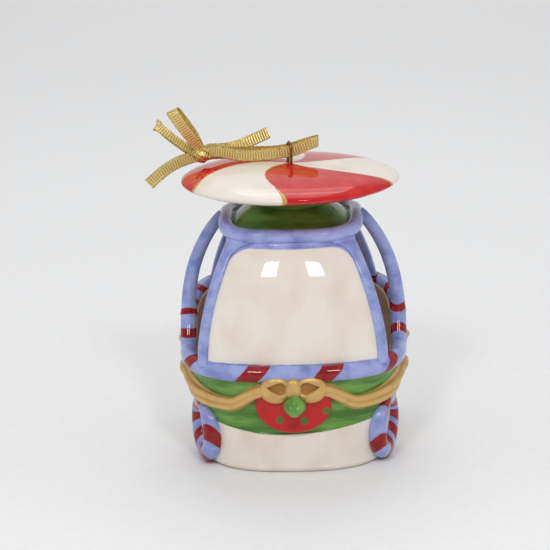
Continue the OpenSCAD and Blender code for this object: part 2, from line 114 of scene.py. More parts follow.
class BellSizes(bpy.types.PropertyGroup):
    """Sizes of the bell body, its trim and the cabin."""

    foot_w: length("Foot width", "Width of the bell at its foot", 56.4)
    foot_d: length("Foot depth", "Depth of the bell at its foot", 58.4)
    belly_w: length("Belly width", "How much wider the body is at the belt than at the foot", 7.6)
    belly_d: length("Belly depth", "How much deeper the body is at the belt than at the foot", 5.6)
    wall: length("Wall", "Thickness of the bell's wall", 3.2)
    foot_round: length("Foot rounding", "Radius of the foot's edges", 2.0)
    skirt_h: length("Skirt height", "Height of the cream skirt at the sides", 17.5)
    sash_dip: length("Sash dip", "How far the green sash dips in front and behind", 5.2)
    belt_z: length("Belt height", "Height of the belt's centre line in front", 31.2)
    belt_r: length("Belt radius", "Radius of the belt and of the rear rim", 2.4)
    rim_step: length("Rim step", "How much higher the rim is at the arches than in front", 8.8)
    rim_rise: length("Rim rise", "How much higher the rim is behind than at the arches", 3.5)
    cabin_h: length("Cabin height", "Height from the belt to the roof rim's lowest edge", 34.8)
    sill_in: length("Sill inset", "How far a pillar's foot stands in from the belt's side", 4.6)
    pillar_w: length("Pillar width", "Width of a pillar", 3)
    pillar_t: length("Pillar depth", "Depth of a pillar", 4.2)
    panel_t: length("Panel thickness", "Thickness of the front and rear panels", 2.6)
    panel_bulge: length("Panel bulge", "How far a panel's middle stands out past its sides", 4.5)
    corner_r: length("Corner radius", "Radius of a panel's upper corners", 4)
    arch_r: length("Arch radius", "Radius of an arch at its foot", 2.2)
    arch_top_r: length("Arch top radius", "Radius of an arch where it meets the roof", 1.75)


class RoofSizes(bpy.types.PropertyGroup):
    """Sizes of the roof, the neck and the peppermint disc."""

    half_w: length("Rim half width", "Half width of the roof rim's centre line", 19.2)
    half_d: length("Rim half depth", "Half depth of the roof rim's centre line", 18.2)
    bar_r: length("Rim radius", "Radius of the roof rim's bar", 2.1)
    roof_h: length("Roof height", "Height from the rim's lowest edge to the roof's top", 8)
    roof_t: length("Roof thickness", "Thickness of the roof", 2.5)
    neck_r: length("Neck radius", "Radius of the neck under the disc", 9)
    disc_r: length("Disc radius", "Radius of the peppermint disc", 32)
    disc_lift: length("Disc lift", "Height of the disc's mid plane over the roof's top", 7.3)
    disc_up: length("Disc rise", "How far the disc's top rises over its mid plane", 4.4)
    disc_down: length("Disc drop", "How far the disc's underside drops under its mid plane", 3.9)


class ReliefSizes(bpy.types.PropertyGroup):
    """Sizes of the modelled relief: garlands, wreath, bow and candy rings."""

    ring_r: length("Candy ring radius", "Outer radius of a candy ring", 10.3)
    ring_cord: length("Candy cord radius", "Radius of a candy ring's cord", 2.7)
    ring_apart: length("Ring gap", "Half the gap between the two rings of one side", 6)
    ring_sunk: length("Ring depth", "How far a ring's middle is sunk under the wall's surface", 0.7)
    garland_band: length("Garland band", "Half height of a garland's band", 2.0)
    garland_end: length("Garland end", "Half height of a garland's gathered end", 3.2)
    wreath_w: length("Wreath width", "Half width of the wreath", 10.9)
    wreath_h: length("Wreath height", "Half height of the wreath", 8.6)
    wreath_drop: length("Wreath drop", "Height of the wreath's bead under the belt's centre line", 8.6)
    wreath_sag: length("Wreath sag", "How far the wreath's middle lies below its bead", 0.8)
    wreath_proud: length("Wreath relief", "How far the wreath stands out of the wall", 1.6)
    knob_r: length("Bead radius", "Radius of the green bead", 3.1)
    ribbon_w: length("Ribbon width", "Width of the hanging ribbon", 3.5)
    ribbon_t: length("Ribbon thickness", "Thickness of the ribbon between its edge cords", 0.22)
    thread: length("Thread pitch", "Spacing of the ribbon's cross threads", 0.8)


class OrnamentColours(bpy.types.PropertyGroup):
    """Colours of the glazes, paints and metals."""

    cream: paint("Cream glaze", "Cream body glaze", "#f1e9dc")
    cream_shade: paint("Cream shade", "Cream glaze where it lies thick", "#e6dac8")
    green: paint("Green glaze", "Green glaze where the brush left it thin", "#76a84e")
    green_deep: paint("Deep green", "Green glaze where strokes overlap", "#47752a")
    blue: paint("Blue glaze", "Periwinkle glaze", "#a4afe2")
    blue_deep: paint("Deep blue", "Periwinkle glaze where strokes overlap", "#7f8bc8")
    stripe: paint("Stripe red", "Dark red of the candy stripes", "#8c1418")
    stripe_thin: paint("Thin stripe red", "Stripe red where it is thin", "#a52a2a")
    lining: paint("Lining brown", "Brown glaze inside the cabin", "#e6c6ac")
    lining_deep: paint("Deep lining brown", "Brown glaze where it pools", "#cda58a")
    candy_red: paint("Candy red", "Red of the peppermint disc", "#c8161a")
    candy_red_thin: paint("Thin candy red", "Candy red between brush strokes", "#de3426")
    gold: paint("Gold paint", "Satin gold paint on the garlands", "#d9b06a")
    # Painted shade: this darker gold is laid into the garlands' folds and the bow's hollows
    gold_deep: paint("Deep gold", "Gold paint where it settles in folds", "#a87634")
    gold_line: paint("Gold line", "Bright gold line between the candy stripes", "#c79a3e")
    wreath: paint("Wreath red", "Red of the wreath", "#c4211f")
    brass: paint("Wire", "Plated wire of the eye pin", "#9a6a3c")
    lame: paint("Ribbon gold", "Pale gold of the ribbon's middle", "#f0e2a8")
    lame_edge: paint("Ribbon edge gold", "Gold of the ribbon's edge cords", "#c9a53c")


class StageSettings(bpy.types.PropertyGroup):
    """The camera's place and the lights."""

    distance: length("Distance", "Distance of the camera in front of the ornament", 500)
    height: length("Height", "Height of the camera over the floor", 189.5)
    aside: length("Aside", "How far the camera stands to the left", 5.15)
    orbit: angle("Orbit", "Turn of the camera round the ornament, to its right", 1.5)
    pitch: angle("Pitch", "How far the camera looks down", 15.4)
    roll: angle("Roll", "How far the camera leans to its right", 1.53)
    lens: number("Lens", "Focal length in millimetres, on a 36 mm sensor", 113.8)
    key: number("Side light", "Power of each side soft box in watts", 1.12)
    top: number("Top light", "Power of the top soft box in watts", 1.3)
    wall: number("Wall light", "Power of the light on the backdrop in watts", 2.0)
    sky: number("Room light", "Strength of the white room round the stage", 0.74)
    front: number("Front share", "Share of the room light that comes from the camera's side", 0.6)


def sizes_of(group):
    """The lengths of one of the ornament's property groups, in millimetres."""
    names = [p.identifier for p in group.bl_rna.properties if p.type == "FLOAT"]
    return SimpleNamespace(**{n: getattr(group, n) / MM for n in names})


# ---- Shape helpers ---------------------------------------------------------------------------


def ease(u):
    """0 below 0, 1 above 1, and a smooth rise between: three times the square less twice the cube."""
    c = np.clip(u, 0, 1)
    return c * c * (3 - 2 * c)


def unit(v):
    """Each vector divided by its length."""
    return v / np.maximum(np.linalg.norm(v, axis=-1, keepdims=True), 1e-9)


def plan(a, b, n, t):
    """Point at bearing t on a rounded square: its radius is the inverse n-th root of the summed n-th powers
    of the cosine over the half width a and of the sine over the half depth b."""
    r = ((np.abs(np.cos(t)) / a) ** n + (np.abs(np.sin(t)) / b) ** n) ** (-1 / n)
    return r * np.cos(t), r * np.sin(t)


def turns(count):
    """Equal bearings once round, without the last, which is the first again."""
    return np.linspace(0, FULL, count, endpoint=False)


def arc_length(path):
    """Distance along a path at each of its points."""
    return np.concatenate([[0], np.cumsum(np.linalg.norm(np.diff(path, axis=0), axis=1))])


def smooth_path(points, step):
    """A Catmull-Rom curve through the points, at equal steps of the arc length of its first three columns."""
    p = np.asarray(points, float)
    ends = np.vstack([2 * p[0] - p[1], p, 2 * p[-1] - p[-2]])
    u = np.linspace(0, 1, 12, endpoint=False)[:, None, None]
    p0, p1, p2, p3 = ends[:-3], ends[1:-2], ends[2:-1], ends[3:]
    curve = 0.5 * (2 * p1 + (p2 - p0) * u + (2 * p0 - 5 * p1 + 4 * p2 - p3) * u**2
                   + (3 * p1 - p0 - 3 * p2 + p3) * u**3)
    dense = np.vstack([curve.transpose(1, 0, 2).reshape(-1, p.shape[1]), p[-1:]])
    run = arc_length(dense[:, :3])
    at = np.linspace(0, run[-1], int(round(run[-1] / step)) + 1)
    return np.stack([np.interp(at, run, column) for column in dense.T], axis=1)


def sweep(path, side, across, through, sides, closed=False):
    """An oval carried along a path: at angle w its point is the path's, plus cos w times the half size across
    along the side vector, plus sin w times the half size through along travel cross side."""
    if closed:
        travel = unit(np.roll(path, -1, 0) - np.roll(path, 1, 0))
    else:
        travel = unit(np.gradient(path, axis=0))
    s = unit(side - (side * travel).sum(1, keepdims=True) * travel)
    u = np.cross(travel, s)
    w = turns(sides)
    offset = 0
    for half, turn, axis in ((across, np.cos(w), s), (through, np.sin(w), u)):
        half = np.reshape(half, (-1, 1)) if np.ndim(half) < 2 else half
        offset = offset + (half * turn)[..., None] * axis[:, None]
    return path[:, None] + offset


def grid_faces(rows, cols, wrap_rows, wrap_cols):
    """Quads between neighbouring points of a grid, as an array of corner numbers."""
    i = np.arange(rows if wrap_rows else rows - 1)
    j = np.arange(cols if wrap_cols else cols - 1)
    i, j = np.meshgrid(i, j, indexing="ij")
    i2, j2 = (i + 1) % rows, (j + 1) % cols
    return np.stack([i * cols + j, i * cols + j2, i2 * cols + j2, i2 * cols + j], -1).reshape(-1, 4)


def volume(points, faces):
    """Signed volume inside quads and triangles: a sixth of the sum of the corners' triple products."""
    total = 0.0
    for a, b, c in ((0, 1, 2), (0, 2, 3)):
        p, q, r = (points[faces[:, k]] for k in (a, b, c))
        total += np.einsum("ij,ij->i", p, np.cross(q, r)).sum() / 6
    return total


def revolved(radius, z, t):
    """Rings of a body of revolution: radius and height of each row, bearing of each column."""
    x, y = radius[:, None] * np.cos(t), radius[:, None] * np.sin(t)
    return np.stack(np.broadcast_arrays(x, y, z[:, None]), -1)


def ball(a, t):
    """Points of a sphere of radius 1 at elevation a and bearing t."""
    return np.stack(np.broadcast_arrays(np.cos(a) * np.cos(t), np.cos(a) * np.sin(t), np.sin(a)), -1)


def shell(points, wrap_rows=False):
    """Points and faces of a grid that closes round its columns. Its first and last rows close on their
    middles, or on each other where wrap_rows is set."""
    rows, cols = points.shape[:2]
    flat = points.reshape(-1, 3)
    faces = grid_faces(rows, cols, wrap_rows, True)
    if not wrap_rows:
        j = np.arange(cols)
        j2 = (j + 1) % cols
        first, last = len(flat), len(flat) + 1
        flat = np.vstack([flat, points[0].mean(0), points[-1].mean(0)])
        top = (rows - 1) * cols
        start = np.stack([j2, j, np.full(cols, first), np.full(cols, first)], -1)
        stop = np.stack([top + j, top + j2, np.full(cols, last), np.full(cols, last)], -1)
        faces = np.vstack([faces, start, stop])
    if volume(flat, faces) < 0:
        faces = faces[:, ::-1]
    return flat, faces


def joined(*shells):
    """Several shells as one set of points and faces."""
    flats, faces, start = [], [], 0
    for flat, face in shells:
        flats.append(flat)
        faces.append(face + start)
        start += len(flat)
    return np.vstack(flats), np.vstack(faces)


def as_piece(name, mesh_data, material, attributes=None):
    """A smooth mesh object at the origin from points in millimetres, its faces and values at its points."""
    points, faces = mesh_data
    mesh = bpy.data.meshes.new(name)
    loops = [tuple(dict.fromkeys(f)) for f in faces.tolist()]
    mesh.from_pydata((points * MM).tolist(), [], loops)
    for key, values in (attributes or {}).items():
        values = np.asarray(values, np.float32).ravel()
        full = np.zeros(len(points), np.float32)
        full[: len(values)] = values
        if len(values) < len(points):
            full[len(values) :] = values.mean()
        mesh.attributes.new(key, "FLOAT", "POINT").data.foreach_set("value", full)
    mesh.validate()
    mesh.polygons.foreach_set("use_smooth", np.ones(len(mesh.polygons), bool))
    mesh.materials.append(material)
    piece = bpy.data.objects.new(name, mesh)
    bpy.context.scene.collection.objects.link(piece)
    return piece


def bell_piece(name, mesh_data, finish, nodes, attributes=None):
    """A piece in one of the palette's finishes that takes the place of CAD nodes and rides on the bell's
    body."""
    piece = as_piece(name, mesh_data, Palette.get(finish), attributes)
    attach(piece, "bell")
    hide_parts(*nodes)
    return piece


def dress(node, material):
    """A CAD node that is shown as it is gets a material."""
    mesh = frame["nodes"][node].data
    mesh.materials.clear()
    mesh.materials.append(material)


# ---- Materials -------------------------------------------------------------------------------


def new_material(name):
    """An empty node material and its tree."""
    material = bpy.data.materials.new(name)
    material.use_nodes = True
    material.node_tree.nodes.clear()
    return material, material.node_tree


def add(tree, kind, settings=None, links=None):
    """A shader node with its settings, which are properties, stops or input values, and its links."""
    made = tree.nodes.new("ShaderNode" + kind)
    for key, value in (settings or {}).items():
        if key == "stops":
            ramp = made.color_ramp.elements
            while len(ramp) < len(value):
                ramp.new(1)
            for element, (at, colour) in zip(ramp, value):
                element.position = at
                element.color = (*colour, 1)
        elif isinstance(key, str) and hasattr(made, key):
            setattr(made, key, value)
        else:
            made.inputs[key].default_value = value
    for key, source in (links or {}).items():
        tree.links.new(source, made.inputs[key])
    return made


def noise(tree, size_mm, detail=2.0, stretch=(1, 1, 1)):
    """Noise on object coordinates whose features are about size_mm wide, drawn out along some axes."""
    where = add(tree, "TexCoord").outputs["Object"]
    scaled = add(tree, "Mapping", {"Scale": stretch}, {"Vector": where}).outputs[0]
    settings = {"Scale": 1 / (size_mm * MM), "Detail": detail}
    return add(tree, "TexNoise", settings, {"Vector": scaled}).outputs["Fac"]


def attribute(tree, name):
    """A value that the mesh carries at its points."""
    return add(tree, "Attribute", {"attribute_name": name}).outputs["Fac"]


def calculate(tree, operation, a, b=None):
    """A sum, product or the like of a socket a and b, a socket or a number."""
    plain = isinstance(b, (int, float))
    settings = {"operation": operation, **({1: b} if plain else {})}
    return add(tree, "Math", settings, {0: a} if plain or b is None else {0: a, 1: b}).outputs[0]


def mapped(tree, value, low, high, start=0.0, stop=1.0):
    """A value that goes from start at low to stop at high, and stays there beyond."""
    settings = {"From Min": low, "From Max": high, "To Min": start, "To Max": stop}
    return add(tree, "MapRange", settings, {"Value": value}).outputs[0]


def tones(tree, share, low, deep, high, pale):
    """A colour that goes from deep where the share is low to pale where it is high."""
    return add(tree, "ValToRGB", {"stops": [(low, deep), (high, pale)]}, {"Fac": share}).outputs["Color"]


def bumped(tree, height, strength, depth_mm):
    """The surface's normal, tilted as if by a height."""
    return add(tree, "Bump", {"Strength": strength, "Distance": depth_mm * MM}, {"Height": height}).outputs[0]


def surfaced(material, tree, settings, links):
    """The material, finished with a principled surface."""
    shader = add(tree, "BsdfPrincipled", settings, links)
    add(tree, "OutputMaterial", {}, {"Surface": shader.outputs[0]})
    return material


def mix(tree, share, a, b):
    """Colour a turning to colour b; each is a socket or a plain colour."""
    made = tree.nodes.new("ShaderNodeMix")
    made.data_type = "RGBA"
    tree.links.new(share, made.inputs[0])
    for key, value in ((6, a), (7, b)):
        if isinstance(value, bpy.types.NodeSocket):
            tree.links.new(value, made.inputs[key])
        else:
            made.inputs[key].default_value = (*value, 1)
    return made.outputs[2]


def strokes(tree, thin, deep, size_mm, stretch, low=0.38, high=0.66):
    """Two tones of one glaze in streaks, as a brush leaves them."""
    return tones(tree, noise(tree, size_mm, 3.0, stretch), low, deep, high, thin)


def edge_mask(tree, name, soft_mm=0.12, wobble_mm=0.35):
    """1 where a signed distance in millimetres is above zero, with the slight wobble of a hand-drawn edge."""
    shake = mapped(tree, noise(tree, 2.2, 1.0), 0, 1, -wobble_mm / 2, wobble_mm / 2)
    return mapped(tree, calculate(tree, "ADD", attribute(tree, name), shake), -soft_mm, soft_mm)


def fired(material, tree, colour, wave_mm=0.05, body_roughness=0.5, coat_roughness=0.05):
    """A painted body under a clear fired glaze: a matt underglaze colour below a glassy coat whose surface
    keeps the slow waves of molten glass."""
    waves = bumped(tree, noise(tree, 7.0, 1.0), 0.6, wave_mm)
    return surfaced(material, tree, {
        "Roughness": body_roughness, "Specular IOR Level": 0.0,
        "Coat Weight": 1.0, "Coat Roughness": coat_roughness, "Coat IOR": 1.4,
    }, {"Base Color": colour, "Normal": waves, "Coat Normal": waves})


def cream_tone(tree, c):
    """Warm white, a little darker where the slip lies thick."""
    return strokes(tree, c.cream, c.cream_shade, 9, (1, 1, 0.6), 0.3, 0.6)


def blue_tone(tree, c):
    """Periwinkle, mottled from light to mid blue."""
    return strokes(tree, c.blue, c.blue_deep, 5, (1, 1, 1.2), 0.34, 0.6)


def cream_glaze(c):
    """Clear glaze over cream earthenware slip: a warm, slightly uneven white with glassy reflections."""
    material, tree = new_material("cream_slip_glaze")
    return fired(material, tree, cream_tone(tree, c))


def panel_glaze(c):
    """The same cream with a periwinkle border brushed round it, its edge drawn by hand."""
    material, tree = new_material("bordered_cream_glaze")
    border = edge_mask(tree, "border", 0.15, 0.5)
    return fired(material, tree, mix(tree, border, cream_tone(tree, c), blue_tone(tree, c)))


def green_glaze(c):
    """Brushed green underglaze: long level strokes, lighter where the bristles left it thin."""
    material, tree = new_material("brushed_green_glaze")
    return fired(material, tree, strokes(tree, c.green, c.green_deep, 6, (0.5, 0.5, 2.6)))


def blue_glaze(c):
    """Brushed periwinkle underglaze, mottled from light to mid blue."""
    material, tree = new_material("brushed_periwinkle_glaze")
    return fired(material, tree, blue_tone(tree, c))


def candy_glaze(c):
    """The same periwinkle with dark red stripes painted over it, their edges drawn by hand."""
    material, tree = new_material("striped_candy_glaze")
    red = strokes(tree, c.stripe_thin, c.stripe, 2.6, (1, 1, 1), 0.4, 0.75)
    return fired(material, tree, mix(tree, edge_mask(tree, "stripe"), blue_tone(tree, c), red))


def lining_glaze(c):
    """Brown glaze inside the cabin, pooled darker in patches."""
    material, tree = new_material("brown_lining_glaze")
    return fired(material, tree, strokes(tree, c.lining, c.lining_deep, 8, (1, 1, 1)))


def peppermint_glaze(c):
    """Cream and candy-red swirl with gold lines between them, under the thickest glaze of the piece."""
    material, tree = new_material("peppermint_swirl_glaze")
    cream = strokes(tree, c.cream, c.cream_shade, 12, (1, 1, 1), 0.2, 0.5)
    red = strokes(tree, c.candy_red_thin, c.candy_red, 5, (1, 1, 1), 0.45, 0.8)
    swirl = mix(tree, edge_mask(tree, "swirl", 0.1, 0.3), cream, red)
    lined = mix(tree, edge_mask(tree, "gold_line", 0.08, 0.2), swirl, c.gold_line)
    return fired(material, tree, lined, wave_mm=0.04, coat_roughness=0.04)


def wreath_glaze(c):
    """Bright red underglaze with soft green dots."""
    material, tree = new_material("dotted_red_glaze")
    red = strokes(tree, c.wreath, c.stripe, 5, (1, 1, 1), 0.1, 0.5)
    return fired(material, tree, mix(tree, edge_mask(tree, "dots", 0.35, 0.3), red, c.green_deep))


def bead_glaze(c):
    """Green glaze on the bead, mottled lighter and darker."""
    material, tree = new_material("green_bead_glaze")
    green = strokes(tree, c.green, c.green_deep, 4, (1, 1, 1), 0.25, 0.6)
    return fired(material, tree, green, body_roughness=0.6, coat_roughness=0.2)


def gold_paint(c):
    """Satin gold lustre brushed over the fired glaze: part metallic, with the brush's fine drag, and with
    painted
    shade: a darker gold laid into its folds and hollows."""
    material, tree = new_material("brushed_gold_lustre")
    colour = strokes(tree, c.gold, tuple(0.8 * v for v in c.gold), 3.5, (1, 1, 1.5), 0.2, 0.55)
    # Painted shade: the darker gold is mixed in where the piece's value marks folds and hollows
    fold_shaded = mix(tree, attribute(tree, "fold"), colour, c.gold_deep)
    drag = bumped(tree, noise(tree, 0.7, 3.0, (0.4, 0.4, 2)), 0.25, 0.05)
    return surfaced(material, tree, {"Metallic": 0.3, "Roughness": 0.36, "Specular IOR Level": 0.5},
                    {"Base Color": fold_shaded, "Normal": drag})


def wire(name, colour):
    """Drawn metal wire with fine lengthwise die marks."""
    material, tree = new_material(name)
    marks = noise(tree, 0.25, 2.0, (1, 1, 0.2))
    tone = tones(tree, marks, 0.3, tuple(0.7 * v for v in colour), 0.7, colour)
    return surfaced(material, tree, {"Metallic": 1.0, "Roughness": 0.25},
                    {"Base Color": tone, "Normal": bumped(tree, marks, 0.2, 0.01)})


def lame_ribbon(c):
    """Woven metallic ribbon: two gold edge cords and a pale ladder of cross threads between them.
    The weave follows the strip: along is millimetres of run, across runs from -1 to 1 over its width."""
    material, tree = new_material("woven_lame")
    thread_mm = bpy.context.scene.relief_sizes.thread / MM
    off = calculate(tree, "ABSOLUTE", attribute(tree, "across"))
    phase = calculate(tree, "MULTIPLY", attribute(tree, "along"), FULL / thread_mm)
    thread = mapped(tree, calculate(tree, "SINE", phase), -0.5, 0.7)
    deep = tuple(0.55 * v for v in c.lame_edge)
    ladder = mix(tree, thread, c.lame_edge, c.lame)
    band = tones(tree, noise(tree, 0.45), 0.35, c.lame_edge, 0.62, c.lame)
    rope = mix(tree, thread, deep, c.lame_edge)
    flat = mix(tree, mapped(tree, off, 0.46, 0.56), ladder, band)
    woven = mix(tree, mapped(tree, off, 0.84, 0.93), flat, rope)
    return surfaced(material, tree, {"Metallic": 0.7, "Roughness": 0.34},
                    {"Base Color": woven, "Normal": bumped(tree, thread, 0.8, 0.09)})


def stage_paper():
    """Matt white background paper with barely visible fibre."""
    material, tree = new_material("background_paper")
    tone = tones(tree, noise(tree, 3, 3.0), 0.3, linear("#f1f1f1"), 0.7, linear("#f4f4f4"))
    return surfaced(material, tree, {"Roughness": 0.9, "Specular IOR Level": 0.1}, {"Base Color": tone})


class Palette:
    """The finishes, each made when it is first asked for."""

    makers = {
        "cream": cream_glaze, "panel": panel_glaze, "green": green_glaze, "blue": blue_glaze,
        "candy": candy_glaze, "lining": lining_glaze, "peppermint": peppermint_glaze, "wreath": wreath_glaze,
        "bead": bead_glaze, "gold": gold_paint, "lame": lame_ribbon, "paper": lambda c: stage_paper(),
        "brass": lambda c: wire("plated_wire", c.brass),
        "steel": lambda c: wire("drawn_steel_wire", linear("#b8b8b8")),
    }
    made = {}

    @classmethod
    def get(cls, name):
        """The finish of that name, in the scene's colours."""
        if name not in cls.made:
            cls.made[name] = cls.makers[name](colours())
        return cls.made[name]


def colours():
    """The ornament's colours as plain linear triples."""
    group = bpy.context.scene.ornament_colours
    names = [p.identifier for p in group.bl_rna.properties if p.type == "FLOAT"]
    return SimpleNamespace(**{n: tuple(getattr(group, n)) for n in names})


# ---- The body's shape, which every sub-part shares ---------------------------------------------

BELT_SQUARE, FOOT_SQUARE = 3.1, 2.8
BELLY_CURVE = 1.6
ROOF_SQUARE = 4
TRIM_INSET = 0.6
RIM_STEP_FROM, RIM_STEP_TO = -7, 1


class Body:
    """The bell's outer surface, the trim's line and the cabin's faces, in millimetres."""

    def __init__(self):
        scene = bpy.context.scene
        self.b = sizes_of(scene.bell_sizes)
        self.r = sizes_of(scene.roof_sizes)
        self.e = sizes_of(scene.relief_sizes)
        b, r = self.b, self.r
        self.half_w = (b.foot_w + b.belly_w) / 2
        self.half_d = (b.foot_d + b.belly_d) / 2
        self.rim_z = b.belt_z + b.rim_step
        self.eaves_z = b.belt_z + b.cabin_h
        self.roof_top_z = self.eaves_z + r.roof_h
        self.disc_z = self.roof_top_z + r.disc_lift
        self.wreath_z = b.belt_z - self.e.wreath_drop

    def half_sizes(self, z, inset=0.0):
        """Half width, half depth and squareness at height z: they grow from foot to belt with the 1.6th
        power of the height's share."""
        swell = (z / self.b.belt_z).clip(0, 1) ** BELLY_CURVE
        a = (self.b.foot_w + self.b.belly_w * swell) / 2 - inset
        d = (self.b.foot_d + self.b.belly_d * swell) / 2 - inset
        return a, d, FOOT_SQUARE + (BELT_SQUARE - FOOT_SQUARE) * swell

    def point(self, t, z, inset=0.0):
        """Point of the body at bearing t and height z, pulled in by inset."""
        x, y = plan(*self.half_sizes(z, inset), t)
        return np.stack(np.broadcast_arrays(x, y, z), -1)

    def side_x(self, y, z):
        """How far out the side wall is at depth y and height z."""
        a, d, n = self.half_sizes(z)
        return a * (1 - (np.abs(y) / d).clip(0, 1) ** n) ** (1 / n)

    def sash_low(self, t):
        """Lower edge of the green: it dips in front and behind with the square of the bearing's sine, a
        little lower on the left, and wobbles slightly with the brush."""
        wobble = 0.6 * np.cos(t) * np.sin(t) ** 2 + 0.14 * np.sin(5 * t + 1) + 0.1 * np.sin(11 * t)
        return self.b.skirt_h - self.b.sash_dip * np.sin(t) ** 2 + wobble

    def trim_z(self, y):
        """Height of the trim: low in front, a smooth step up at the arches and a small rise to the rear."""
        step = ease((y - RIM_STEP_FROM) / (RIM_STEP_TO - RIM_STEP_FROM))
        return self.b.belt_z + self.b.rim_step * step + self.b.rim_rise * ease(y / self.half_d)

    def trim_point(self, t):
        """Centre of the trim at bearing t."""
        x, y = plan(self.half_w - TRIM_INSET, self.half_d - TRIM_INSET, BELT_SQUARE, t)
        return np.stack([x, y, self.trim_z(y)], -1)

    def face_half(self, z):
        """Depth of a face's middle and half width to a pillar's outer edge: powers of the height's share."""
        b, r = self.b, self.r
        u = np.clip((z - b.belt_z) / b.cabin_h, 0, 1)
        sill_d, sill_w = self.half_d - 1, self.half_w - b.sill_in
        eaves_d, eaves_w = r.half_d + 1.8, r.half_w - 0.6
        return sill_d - (sill_d - eaves_d) * u**2.2, sill_w - (sill_w - eaves_w) * u**2

    def face_point(self, x, z, out=0.0):
        """Point of the front face at x and z, standing out by out: its middle bulges as a parabola."""
        deep, wide = self.face_half(z)
        y = -(deep - self.b.panel_bulge * (x / wide) ** 2 + out)
        return np.stack(np.broadcast_arrays(x, y, z), -1)

    def opening(self, z):
        """Half width between the pillars at height z, drawn in as a circle's arc at the top corners."""
        rise = np.clip(z - self.eaves_z + 0.2 + self.b.corner_r, 0, self.b.corner_r)
        arc = self.b.corner_r - np.sqrt(self.b.corner_r**2 - rise**2)
        return self.face_half(z)[1] - self.b.pillar_w - arc

    def roof_rim_z(self, y):
        """Height of the roof rim's centre line, arched a little over each side."""
        return self.eaves_z + self.r.bar_r + 2 * (1 - (y / self.r.half_d) ** 2)

    def roof_rim_point(self, t):
        """Centre of the roof rim at bearing t."""
        x, y = plan(self.r.half_w, self.r.half_d, ROOF_SQUARE, t)
        return np.stack([x, y, self.roof_rim_z(y)], -1)


# ---- Bell wall -------------------------------------------------------------------------------

# How far the sash stands out of the skirt and clear of the lining, and how its edges are eased
GLAZE_PROUD, GLAZE_ROUND = 0.06, 0.2
EDGE_STEPS, RISE_STEPS, TOP_STEPS = 6, 22, 3


def wall_rings(body, t, low, high, outer, inner, edge):
    """A closed wall as rings: under its lower edge, up the outside, over the top and down the inside.
    low and high are heights at each bearing, outer and inner are insets, edge is the rounding's radius."""
    q = np.linspace(0, np.pi / 2, EDGE_STEPS)
    up = np.linspace(0, 1, RISE_STEPS)
    pulled, rounded = edge * (1 - np.sin(q)), edge * (1 - np.cos(q))
    inset = np.concatenate([outer + pulled, np.full(RISE_STEPS, outer),
                            np.linspace(outer, inner, TOP_STEPS + 2)[1:-1],
                            np.full(RISE_STEPS, inner), (inner - pulled)[::-1]])
    share = np.concatenate([0 * q, up, np.ones(TOP_STEPS), up[::-1], 0 * q])
    lift = np.concatenate([rounded, edge * (1 - up), np.zeros(TOP_STEPS), edge * up, rounded[::-1]])
    z = low + share[:, None] * (high - low) + lift[:, None]
    return body.point(t[None, :], z, inset[:, None])


def make_wall(body):
    """Skirt, sash and lining: three walls that meet along the same painted line."""
    b = body.b
    t = turns(320)
    line = body.sash_low(t)
    top = body.trim_point(t)[:, 2]
    half = b.wall / 2
    skirt = wall_rings(body, t, np.zeros_like(t), line, 0.0, b.wall, b.foot_round)
    sash = wall_rings(body, t, line, top, -GLAZE_PROUD, half, GLAZE_ROUND)
    lining = wall_rings(body, t, line, top, half + GLAZE_PROUD, b.wall, GLAZE_ROUND)
    bell_piece("glazed_skirt", shell(skirt, True), "cream", ["bell_skirt"])
    bell_piece("painted_sash", shell(sash, True), "green", ["green_sash"])
    bell_piece("glazed_lining", shell(lining, True), "lining", ["cabin_lining"])


# ---- Candy trim ------------------------------------------------------------------------------

BELT_END = np.radians(12)
# Run along the trim from the front's middle, right side positive, and half width of each stripe
STRIPES = [(-11.5, 3.2), (9.4, 3.1), (29.2, 2.0), (51.0, 1.4), (62.5, 1.9), (71.5, 1.9), (81.5, 1.9),
           (91.5, 1.9), (-33.2, 2.6), (-52.2, 1.5), (-66, 1.9), (-76, 1.9), (-86, 1.9), (-96, 1.9)]
STRIPE_LEAN = 0.85
BAR_SIDES = 28


def stripe_distance(run, height, stripes, lean):
    """Signed distance into the nearest leaning stripe: its half width less the distance from its middle,
    where the middle moves with height by the lean."""
    inside = [half - np.abs(run - lean * height - middle) for middle, half in stripes]
    return np.maximum.reduce(inside) / math.hypot(1, lean)


def trim_piece(body, name, first, last, node):
    """A round bar on the trim's line from one bearing to another, with its stripes."""
    t = np.linspace(first, last, 300)
    path = body.trim_point(t)
    out = unit(path * np.array([1, 1, 0]))
    rings = sweep(path, out, body.b.belt_r, body.b.belt_r, BAR_SIDES)
    half_turn = np.linspace(-np.pi / 2, np.pi / 2, 600)
    half_run = arc_length(body.trim_point(half_turn))
    turn = (t + np.pi * 3 / 2) % FULL - np.pi
    run = np.sign(turn) * np.interp(np.abs(turn) - np.pi / 2, half_turn, half_run)
    height = rings[..., 2] - path[:, None, 2]
    values = stripe_distance(run[:, None], height, STRIPES, STRIPE_LEAN)
    bell_piece(name, shell(rings), "candy", [node], {"stripe": values})


def make_trim(body):
    """The front belt and the rear rim."""
    trim_piece(body, "striped_belt", np.pi + BELT_END, FULL - BELT_END, "candy_belt")
    trim_piece(body, "striped_rim", -BELT_END, np.pi + BELT_END, "candy_rim")


# ---- Cabin -----------------------------------------------------------------------------------


def face_rows(low, high, count):
    """Heights that crowd towards the top, where the corners turn: a quarter sine wave."""
    return low + (high - low) * np.sin(np.pi / 2 * np.linspace(0, 1, count))


